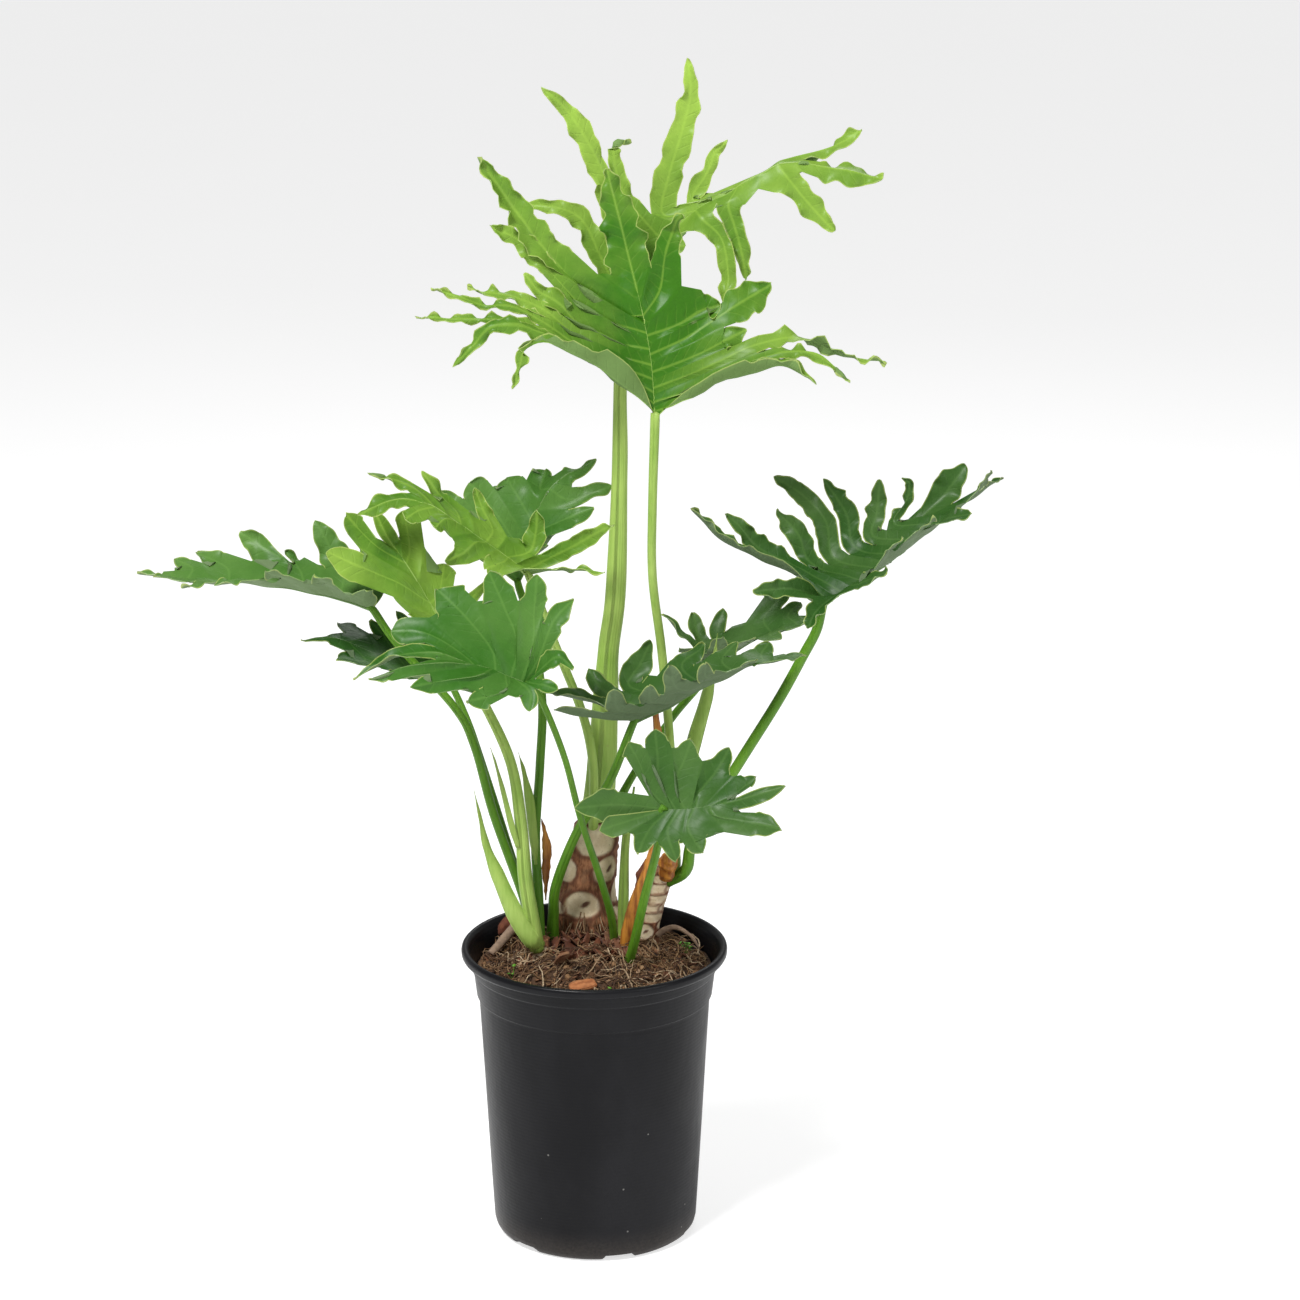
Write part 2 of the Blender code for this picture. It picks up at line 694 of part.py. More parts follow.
            [14, 0.88, (-62, 72, 610), (-72, 80, 624)],
            [10, 0.85, (-44, 76, 616), (-40, 84, 630)],
        ],
        "right": [
            [9, 0.7, (-50, 48, 565), (-38, 44, 578)],
            [9, 0.66, (-32, 54, 592), (0, 54, 605)],
            [9, 0.5, (-18, 62, 610), (15, 62, 622)],
        ],
    },
    {
        "name": "blade_left_front",
        "finish": "mid_leaf",
        "base": (-48, -75, 492),
        "midrib": [(-71, -80, 503), (-96, -84, 513), (-124, -88, 522), (-153, -92, 520), (-186, -96, 502)],
        "tip_width": 10,
        "spread": 0.3,
        "crowd": 1.8,
        "fold": 0.3,
        "flap": 0,
        "overlapping": False,
        "sinus": {"left": {0: 0.5}},
        "left": [
            [9, 0.45, (-36, -84, 510), (-25, -90, 519), (-14, -92, 510)],
            [9, 0.5, (-38, -88, 496), (-26, -95, 494)],
            [13, 0.5, (-48, -90, 490), (-49, -98, 477)],
            [11, 0.66, (-68, -92, 492), (-98, -104, 486)],
            [8, 0.74, (-88, -94, 505), (-116, -102, 503), (-141, -106, 499)],
            [6, 0.8, (-118, -96, 516), (-147, -102, 514), (-173, -106, 505)],
        ],
        "right": [
            [10, 0.6, (-42, -70, 512), (-30, -60, 540), (-14, -52, 556)],
            [12, 0.74, (-46, -68, 522), (-45, -60, 548), (-43, -52, 576)],
            [14, 0.74, (-58, -68, 524), (-68, -62, 550), (-81, -54, 579)],
            [15, 0.78, (-78, -74, 520), (-99, -66, 545), (-122, -58, 566)],
            [12, 0.84, (-102, -80, 520), (-130, -74, 534), (-158, -70, 535)],
        ],
    },
    {
        "name": "blade_front_small",
        "finish": "dark_leaf",
        "base": (55, -85, 392),
        "midrib": [(84, -90, 395), (117, -96, 404), (153, -102, 417)],
        "tip_width": 12,
        "spread": 0.36,
        "crowd": 1.6,
        "fold": 0.2,
        "flap": 0,
        "overlapping": False,
        "sinus": {"left": {0: 0.45}},
        "left": [
            [15, 0.5, (34, -83, 395), (13, -82, 395), (-14, -82, 392)],
            [9, 0.84, (45, -80, 408), (38, -76, 426), (29, -72, 444)],
            [9, 0.84, (54, -78, 412), (52, -72, 432), (50, -67, 453)],
            [9, 0.8, (65, -80, 410), (73, -74, 429), (79, -70, 446)],
            [10, 0.66, (84, -83, 404), (98, -78, 421), (109, -74, 440)],
            [8, 0.8, (114, -92, 408), (130, -90, 420)],
        ],
        "right": [
            [9, 0.8, (38, -90, 387), (22, -94, 383), (6, -96, 378)],
            [8, 0.7, (46, -94, 379), (36, -102, 360)],
            [8, 0.66, (60, -96, 378), (67, -108, 357)],
            [9, 0.74, (76, -98, 381), (88, -110, 364)],
            [11, 0.62, (98, -99, 391), (126, -105, 388), (150, -110, 384)],
        ],
    },
]


# Stalks of the leaves, root first and blade last.
STALKS = [
    ("stalk_top_front", "pale_stalk", [
        (67, 27, 306, 5), (66, 27, 332, 4.6), (65, 26, 372, 4.2), (60, 24, 445, 4),
        (55, 20, 498, 4), (48, 7, 560, 3.9), (48, -5, 622, 3.9), (49.5, -9.5, 688, 4.4)]),
    ("stalk_top_back", "pale_stalk", [
        (2, 46, 340, 14), (6, 46, 386, 12.5), (9, 46, 437, 11), (12, 46, 488, 8.8),
        (18, 46, 538, 8.5), (21.5, 45, 640, 6.5), (22, 45, 705, 5.5), (24, 45, 759, 4.5)]),
    ("stalk_right", "green_stalk", [
        (76, 20, 306, 5.5), (83, 22, 336, 5), (119, 17, 399, 4.8), (151, 14, 454, 4.8),
        (171, 12, 493, 4.6), (181, 10, 514, 4.4), (185, 9.5, 532, 4.2)]),
    ("stalk_right_low", "green_stalk", [
        (-35, 16, 247, 6), (-34, 10, 270, 5), (-31, 0, 300, 4.6), (-13, -12, 350, 4.2),
        (13, -18, 394, 4), (32.5, -20, 442, 3.6)]),
    ("stalk_right_back", "green_stalk", [
        (14, 60, 340, 4.5), (32, 64, 374, 3.5), (64, 62, 424, 3.5), (86, 60, 452, 3.4),
        (95, 60, 465, 3.4)]),
    ("stalk_left_far", "green_stalk", [
        (-55, -3, 275, 4.2), (-61, -3, 299, 4.2), (-82, -3, 362, 4), (-97, -2, 420, 3.8),
        (-113, 0, 452, 3.6), (-158, 4, 503, 3.4), (-176.5, 5, 530, 3.6)]),
    ("stalk_left_low", "green_stalk", [
        (-54, 7, 268, 3.6), (-62, 10, 299, 3.6), (-80, 14, 360, 3.5), (-96, 20, 411, 3.4),
        (-104, 24, 434, 3.2), (-113.5, 25.5, 456, 3.2)]),
    ("stalk_left_bright", "pale_stalk", [
        (-49, -15, 262, 7), (-56, -19, 312, 6.5), (-59, -20, 360, 5.5), (-67, -18, 411, 4.6),
        (-88, -12, 458, 4.2), (-104, -6, 482, 4), (-117, 0, 505, 3.8)]),
    ("stalk_left_high", "pale_stalk", [
        (-1, 27, 352, 4.4), (-1, 27, 396, 4.2), (-10, 25, 441, 4), (-32, 18, 502, 3.8),
        (-51.5, 11, 557, 3.8)]),
    ("stalk_left_back", "green_stalk", [
        (-45, 0, 262, 4.4), (-46, 2, 290, 4.4), (-48, 4, 340, 4.2), (-44, 8, 400, 4),
        (-42, 14, 454, 3.9), (-50, 36, 505, 3.8), (-61.5, 53.5, 532, 3.6)]),
    ("stalk_left_front", "green_stalk", [
        (17, 8, 243, 4), (14, -8, 275, 3.6), (6, -25, 312, 3.2), (-10, -45, 372, 2.9),
        (-22, -60, 427, 2.8), (-38, -70, 474, 2.8), (-46.5, -73.5, 489, 3)]),
    ("stalk_front_small", "green_stalk", [
        (28, -25, 239, 4.6), (33, -38, 262, 4.2), (41, -55, 305, 4), (52, -76, 358, 3.6),
        (54.5, -83, 389, 3.2)]),
]

# Everything else that stands in the mix, foot first.
STEMS = [
    ("main_trunk", "bark", [
        (-7, 50, 230, 30), (-7, 49, 256, 29), (-8, 48, 272, 25.5), (-6, 47, 292, 23),
        (-2, 46, 315, 20.5), (1, 46, 338, 17)]),
    ("right_trunk", "bark", [
        (43, 30, 236, 11), (44, 30, 256, 9.6), (50, 30, 275, 9), (57, 30, 300, 9.5)]),
    ("offshoot", "bark", [(-46, -9, 234, 8.5), (-45, -9, 243, 8), (-45, -9, 253, 7)]),
    ("cut_stalk_end", "dry_sheath", [(60, 18, 303, 6), (61, 15, 312, 7), (63, 12, 320, 6.5)]),
    ("young_shoot", "pale_stalk", [
        (23, 22, 243, 5), (24, 22, 280, 5.6), (26, 24, 330, 4.4), (33, 28, 375, 2)]),
    ("root_right", "bark", [
        (56, 22, 250, 2.3), (68, 22, 254, 2.2), (80, 18, 249, 1.8), (86, 14, 240, 1.2)]),
    ("bark_twig", "bark", [(35, 15, 292, 1.6), (38, 14, 304, 3), (43, 13, 316, 2.4)]),
    ("wood_stick", "wood", [(-82, 12, 240, 3.4), (-72, 20, 249, 4), (-60, 30, 260, 4)]),
]

# Straps: the sheaths that wrapped each young leaf.  The last item is the squeeze and its direction.
SHEATHS = [
    ("sheath_left", "pale_stalk", [
        (-49, -28, 254, 7), (-62, -25, 278, 10), (-76, -22, 310, 9), (-89, -18, 345, 5),
        (-97, -16, 384, 1.2)], (0.45, (0, 1, 0.2))),
    ("sheath_middle", "pale_stalk", [
        (-67, -27, 350, 4), (-73, -25, 385, 4), (-83, -22, 424, 1.2)], (0.4, (0, 1, 0))),
    ("sheath_right", "pale_stalk", [
        (-50, -5, 335, 3.5), (-52, -6, 372, 5), (-57, -6, 398, 2.6), (-61, -6, 414, 1)],
        (0.4, (0.3, 1, 0))),
    ("sheath_spear", "pale_stalk", [
        (70, 42, 330, 6), (73, 45, 372, 7), (80, 43, 408, 8), (91, 38, 445, 7),
        (97, 32, 478, 4), (101, 29, 505, 1)], (0.5, (0, 1, 0))),
    ("dry_sheath", "dry_sheath", [
        (24, -4, 243, 5), (27, -8, 262, 7), (32, -10, 286, 6.5), (44, -12, 318, 5),
        (53, -8, 352, 5), (52, 0, 392, 5), (50, 4, 420, 5), (50, 6, 448, 1.5)],
        (0.35, (0.5, 1, 0))),
    ("dry_edge", "dry_sheath", [
        (-40, 6, 288, 2), (-40, 7, 312, 4), (-39, 7, 330, 4), (-42, 8, 352, 1)],
        (0.4, (0.2, 1, 0))),
]

CHIPS = [
    ("bark_chunk", "bark", (-68, 47, 246), (20, 12, 26), (20, 35, 15)),
    ("bark_chip", "bark", (-8, -74, 239), (22, 12, 5), (10, -5, 12)),
    ("dry_leaf_chip", "wood", (-26, -40, 250), (12, 4, 14), (35, 20, 30)),
]


def make_chip(name, finish, place, size, turn, parts):
    """A rough flake: a low sphere squeezed to its size."""
    mesh = bpy.data.meshes.new(name)
    form = bmesh.new()
    bmesh.ops.create_icosphere(form, subdivisions=2, radius=0.5)
    bmesh.ops.scale(form, vec=Vector(size) * MM, verts=form.verts)
    form.to_mesh(mesh)
    form.free()
    obj = add_object(name, mesh, finish, parts)
    obj.location = Vector(place) * MM
    obj.rotation_euler = [math.radians(angle) for angle in turn]
    return obj


def main():
    clear_scene()
    parts = new_collection("potted_philodendron")
    cutters = new_collection("cutters", hidden=True)
    finishes = {name: material(name, *look) for name, look in FINISHES.items()}
    make_pot(finishes["pot_plastic"], parts, cutters)
    feet = [(name, *route[0]) for name, _, route in STALKS + STEMS]
    feet += [(name, *route[0]) for name, _, route, _ in SHEATHS]
    make_potting_mix(finishes["potting_mix"], parts, cutters, feet)
    for name, finish, route in STALKS + STEMS:
        stalk(name, route, finishes[finish], parts)
    for name, finish, route, flat in SHEATHS:
        stalk(name, route, finishes[finish], parts, flat=flat)
    for name, finish, place, size, turn in CHIPS:
        make_chip(name, finishes[finish], place, size, turn, parts)
    for leaf in LEAVES:
        make_blade(leaf, finishes[leaf["finish"]], parts)


if __name__ == "__main__":
    main()
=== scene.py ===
# %% [markdown]
# # A tree philodendron in its nursery pot
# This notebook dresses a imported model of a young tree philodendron.  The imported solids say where
# every piece is, and each cell swaps plain solids for pieces with the real surface: lobed blades
# with raised ribs, grooved stalks, scarred trunks, a rough mix of peat and bark, and a dusty pot.
# The frame is loaded first, and its box is kept, because nothing may grow past it.

# %% Open the frame
import math
import random

import bmesh
import bpy
from mathutils import Matrix, Vector, noise


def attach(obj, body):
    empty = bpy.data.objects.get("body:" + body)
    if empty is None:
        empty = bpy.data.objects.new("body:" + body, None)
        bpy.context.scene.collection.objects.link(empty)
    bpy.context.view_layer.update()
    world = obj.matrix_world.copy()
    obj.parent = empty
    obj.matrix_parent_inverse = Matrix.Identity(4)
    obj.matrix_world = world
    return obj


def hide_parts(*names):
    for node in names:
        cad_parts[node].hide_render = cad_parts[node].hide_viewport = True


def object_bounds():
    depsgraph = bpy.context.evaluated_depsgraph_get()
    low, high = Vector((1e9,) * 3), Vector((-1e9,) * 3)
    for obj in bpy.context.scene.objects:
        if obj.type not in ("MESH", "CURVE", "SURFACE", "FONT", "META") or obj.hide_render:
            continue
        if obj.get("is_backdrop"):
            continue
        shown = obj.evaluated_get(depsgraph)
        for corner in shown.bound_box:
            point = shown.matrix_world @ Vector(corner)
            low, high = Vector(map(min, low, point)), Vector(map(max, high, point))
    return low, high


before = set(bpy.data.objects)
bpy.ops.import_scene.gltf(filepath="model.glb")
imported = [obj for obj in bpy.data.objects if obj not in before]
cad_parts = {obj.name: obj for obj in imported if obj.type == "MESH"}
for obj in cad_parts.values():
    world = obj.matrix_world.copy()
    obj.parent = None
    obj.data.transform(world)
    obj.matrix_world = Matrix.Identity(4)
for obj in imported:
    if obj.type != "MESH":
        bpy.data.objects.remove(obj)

cad_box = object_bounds()
MM = 0.001
print("packed nodes:", len(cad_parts))

# %% [markdown]
# ## The camera
# A whole plant is best seen from a little above its pot, from about three metres away, with a
# long lens, so that near and far leaves keep their true sizes.  The camera is set by a place, a
# pitch and a focal length, and nothing tracks an object, so that the view never depends on the
# pieces.

# %% Camera
CAMERA_PLACE = (0.046, -2.727, 1.251)
CAMERA_PITCH = 15.4
CAMERA_LENS = 96.92


def placed(name, data):
    """A new object in the scene."""
    made = bpy.data.objects.new(name, data)
    bpy.context.scene.collection.objects.link(made)
    return made


camera_data = bpy.data.cameras.new("studio_camera")
camera_data.lens = CAMERA_LENS
camera_data.sensor_width = 36
camera = placed("studio_camera", camera_data)
camera.location = CAMERA_PLACE
camera.rotation_euler = (math.radians(90 - CAMERA_PITCH), 0, 0)
bpy.context.scene.camera = camera
print("camera pitch", CAMERA_PITCH, "degrees, lens", CAMERA_LENS, "mm")

# %% [markdown]
# ## Writing a finish as a formula
# A finish is easier to read as `dust * 0.3 + 0.4` than as a chain of boxes and wires.  `Wire`
# wraps one output of a node, and its operators add the Math nodes.  `Finish` owns a material, and
# its one method `node` adds every other kind: settings first, because they can change which
# sockets exist.

# %% Wires and finishes


class Wire:
    """A value that varies over a surface, ready to be used in a formula."""

    def __init__(self, finish, socket):
        self.finish, self.socket = finish, socket

    def maths(self, operation, *values):
        return self.finish.node("ShaderNodeMath", {"operation": operation}, dict(enumerate(values)))

    def __add__(self, other):
        return self.maths("ADD", self, other)

    __radd__ = __add__

    def __mul__(self, other):
        return self.maths("MULTIPLY", self, other)

    __rmul__ = __mul__

    def __sub__(self, other):
        return self.maths("SUBTRACT", self, other)

    def __rsub__(self, other):
        return self.maths("SUBTRACT", other, self)

    def __truediv__(self, other):
        return self.maths("DIVIDE", self, other)

    def __pow__(self, other):
        return self.maths("POWER", self, other)

    def ramped(self, low, high):
        """0 below low and 1 above high, with a smooth rise between them."""
        return self.finish.node(
            "ShaderNodeMapRange",
            {"interpolation_type": "SMOOTHSTEP"},
            {"Value": self, "From Min": low, "From Max": high},
        )

    def wave(self, length):
        """A cosine that is 1 at every whole length."""
        return self.maths("COSINE", self * (2 * math.pi / length)) * 0.5 + 0.5


class Finish:
    """A Principled material that is written line by line."""

    def __init__(self, name, roughness=0.5, **fixed):
        self.material = bpy.data.materials.new(name)
        self.material.use_nodes = True
        self.tree = self.material.node_tree
        self.shader = self.tree.nodes["Principled BSDF"]
        self.shader.inputs["Roughness"].default_value = roughness
        for socket, value in fixed.items():
            self.shader.inputs[socket.replace("_", " ")].default_value = value

    def node(self, kind, settings=None, inputs=None, output=0):
        made = self.tree.nodes.new(kind)
        for key, value in (settings or {}).items():
            if key == "stops":
                self.set_stops(made.color_ramp, value)
            else:
                setattr(made, key, value)
        for key, value in (inputs or {}).items():
            self.plug(made.inputs[key], value)
        return Wire(self, made.outputs[output])

    def set_stops(self, ramp, stops):
        while len(ramp.elements) < len(stops):
            ramp.elements.new(0.5)
        for element, (place, colour) in zip(ramp.elements, stops):
            element.position = place
            element.color = (*colour, 1)

    def plug(self, socket, value):
        if isinstance(value, Wire):
            self.tree.links.new(value.socket, socket)
        elif isinstance(value, tuple) and len(value) == 3 and socket.type == "RGBA":
            socket.default_value = (*value, 1)
        else:
            socket.default_value = value

    def grown(self, name):
        """A measure that the mesh itself carries, such as the distance to the nearest rib."""
        return self.node("ShaderNodeAttribute", {"attribute_name": name}, output=2)

    def place(self, stretch=(1, 1, 1)):
        where = self.node("ShaderNodeTexCoord", output=3)
        return self.node("ShaderNodeMapping", None, {"Vector": where, "Scale": stretch})

    def cloud(self, scale, detail=4, roughness=0.55, stretch=(1, 1, 1)):
        return self.node(
            "ShaderNodeTexNoise",
            None,
            {"Vector": self.place(stretch), "Scale": scale, "Detail": detail,
             "Roughness": roughness},
        )

    def blend(self, factor, first, second):
        """Goes from the first colour to the second as the factor goes from 0 to 1."""
        return self.node(
            "ShaderNodeMix", {"data_type": "RGBA"}, {0: factor, 6: first, 7: second}, output=2
        )

    def colour(self, value):
        self.plug(self.shader.inputs["Base Color"], value)

    def gloss(self, roughness):
        self.plug(self.shader.inputs["Roughness"], roughness)

    def relief(self, *layers):
        """Each layer is (height, depth in metres)."""
        normal = None
        for height, depth in layers:
            inputs = {"Height": height, "Distance": depth, "Strength": 1.0}
            if normal:
                inputs["Normal"] = normal
            normal = self.node("ShaderNodeBump", None, inputs)
        self.plug(self.shader.inputs["Normal"], normal)


def srgb(red, green, blue):
    """A colour as a paint chart gives it, turned into the linear values that a shader works in."""

    def linear(share):
        return share / 12.92 if share <= 0.04045 else ((share + 0.055) / 1.055) ** 2.4

    return tuple(linear(part / 255) for part in (red, green, blue))


def shade(colour, share):
    return tuple(min(1.0, share * part) for part in colour)


print("a mid leaf green in linear light:", [round(part, 3) for part in srgb(70, 140, 40)])

# %% [markdown]
# ## Smooth routes
# A stalk and a rib are both a smooth line through a few known points.  A Catmull-Rom spline
# passes through its points, so the table of a plant can hold places that lie on the real thing.

# %% Routes and meshes
SAMPLES = 24  # of a route, when its distance to a point is measured


class Route:
    """A smooth curve through points in millimetres, read by its share of the way, from 0 to 1."""

    def __init__(self, points):
        self.points, self.samples = points, []
        steps = [(b - a).length for a, b in zip(points, points[1:])]
        self.length = sum(steps)
        self.shares = [sum(steps[:i]) / self.length for i in range(len(points))]

    def piece(self, share):
        last = len(self.points) - 2
        i = max(k for k in range(last + 1) if self.shares[k] <= share + 1e-9)
        return i, (share - self.shares[i]) / (self.shares[i + 1] - self.shares[i])

    def at(self, share):
        share = min(max(share, 0.0), 1.0)
        i, u = self.piece(share)
        a, b = self.points[i], self.points[i + 1]
        before = self.points[i - 1] if i > 0 else a * 2 - b
        after = self.points[i + 2] if i + 2 < len(self.points) else b * 2 - a
        return 0.5 * (
            a * 2
            + (b - before) * u
            + (before * 2 - a * 5 + b * 4 - after) * u**2
            + (a * 3 - before - b * 3 + after) * u**3
        )

    def along(self, share):
        """The direction of travel."""
        return (self.at(share + 0.01) - self.at(share - 0.01)).normalized()

    def distance(self, point):
        """How near the curve comes to a point."""
        if not self.samples:
            self.samples = [self.at(k / SAMPLES) for k in range(SAMPLES + 1)]
        return min((sample - point).length for sample in self.samples)


def wobble(*place):
    """An even, repeatable unevenness, between about -1 and 1."""
    return noise.noise(Vector(place))


def smooth(value):
    value = min(max(value, 0.0), 1.0)
    return value * value * (3 - 2 * value)


def blended(values, shares, share):
    """Reads a list of values that belong to known shares of a route."""
    for k in range(len(shares) - 1):
        if share <= shares[k + 1] + 1e-9:
            u = smooth((share - shares[k]) / (shares[k + 1] - shares[k]))
            return values[k] + (values[k + 1] - values[k]) * u
    return values[-1]


class Surface:
    """Points in millimetres with their measures, and faces with their finishes."""

    def __init__(self, *measures):
        self.points, self.faces, self.slots, self.index = [], [], [], {}
        self.measures = {name: [] for name in measures}

    def add(self, point, merge=False, **values):
        key = tuple(round(c * 1e3) for c in point)
        if merge and key in self.index:
            return self.index[key]
        self.index[key] = len(self.points)
        self.points.append(Vector(point))
        for name, kept in self.measures.items():
            kept.append(values.get(name, 0.0))
        return len(self.points) - 1

    def face(self, corners, slot=0, flip=False):
        ring = [v for k, v in enumerate(corners) if v != corners[k - 1]]
        if len(set(ring)) > 2:
            self.faces.append(ring[::-1] if flip else ring)
            self.slots.append(slot)

    def normals(self):
        """The upward direction at each point, as the mean of the faces round it."""
        sums = [Vector((0, 0, 0)) for _ in self.points]
        for ring in self.faces:
            a, b, c = (self.points[ring[k]] for k in (0, 1, 2))
            area = (b - a).cross(c - a)
            if len(ring) == 4:
                area += (c - a).cross(self.points[ring[3]] - a)
            for v in ring:
                sums[v] += area
        return [s.normalized() for s in sums]

    def tube(self, centres, radii, sides, slot=0, section=None, **measures):
        """A closed tube round a list of centres.  section(turn, share) scales the radius."""
        start = len(self.points)
        count = len(centres)
        side = (centres[1] - centres[0]).orthogonal().normalized()
        if abs((centres[1] - centres[0]).normalized().y) < 0.9:
            side = Vector((0, -1, 0))
        travelled = 0.0
        for i, centre in enumerate(centres):
            ahead = centres[min(i + 1, count - 1)] - centres[max(i - 1, 0)]
            ahead.normalize()
            side = (side - ahead * side.dot(ahead)).normalized()
            other = ahead.cross(side)
            travelled += (centre - centres[max(i - 1, 0)]).length
            for k in range(sides):
                turn = 2 * math.pi * k / sides
                reach = radii[i] * (section(turn, i / (count - 1)) if section else 1)
                self.add(
                    centre + (side * math.cos(turn) + other * math.sin(turn)) * reach,
                    along=travelled, around=k / sides, **measures
                )
        rings = [range(start + i * sides, start + (i + 1) * sides) for i in range(count)]
        self.bands(rings, slot)
        self.face(list(rings[0]), slot, flip=True)
        self.face(list(rings[-1]), slot)

    def bands(self, rings, slot=0, turned=False):
        """Faces between closed rings of points."""
        for low, high in zip(rings, rings[1:]):
            for a, b, c, d in zip(low, [*low[1:], low[0]], [*high[1:], high[0]], high):
                self.face([a, d, c, b] if turned else [a, b, c, d], slot)

    def fan(self, hub, ring, flip=False):
        for a, b in zip(ring, [*ring[1:], ring[0]]):
            self.face([hub, a, b], flip=flip)

    def build(self, name, finishes, slot_name, node=None, sharp=False, crease=0):
        """Makes the Blender object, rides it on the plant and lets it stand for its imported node."""
        mesh = bpy.data.meshes.new(name)
        mesh.from_pydata([p * MM for p in self.points], [], self.faces)
        for measure, values in self.measures.items():
            layer = mesh.attributes.new(measure, "FLOAT", "POINT")
            layer.data.foreach_set("value", values)
        for finish in finishes:
            mesh.materials.append(finish.material)
        mesh.polygons.foreach_set("material_index", self.slots)
        if not sharp:
            mesh.shade_smooth()
        if crease:
            mesh.set_sharp_from_angle(angle=math.radians(crease))
        mesh.validate()
        piece = placed(name, mesh)
        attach(piece, "root")
        for replaced in [node] if isinstance(node, str) else node or []:
            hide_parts(replaced)
        return piece


def vectors(points):
    return [Vector(p[:3]) for p in points]


def groups(words, size):
    """Cuts the numbers of a table's line into points."""
    numbers = [float(word) for word in words]
    return [numbers[i : i + size] for i in range(0, len(numbers), size)]


straight = Route(vectors([(0, 0, 0), (3, 4, 0), (6, 8, 0)]))
print("a route through three points is", round(straight.length), "mm long")

# %% [markdown]
# ## The blades
# A leaf of this plant is one sheet, cut almost to its midrib into lobes, and each lobe has its
# own rib.  The blade is therefore drawn by ribs: a midrib, and for each lobe a half width and the
# places that its rib passes through.  Between two ribs the sheet is lofted up to the notch that
# both lobes share, and past the notch each lobe goes on alone.  The same table of ribs shaped the
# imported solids, and here it gets many more rows, a wavy margin, quilting between the ribs and a
# real thickness.

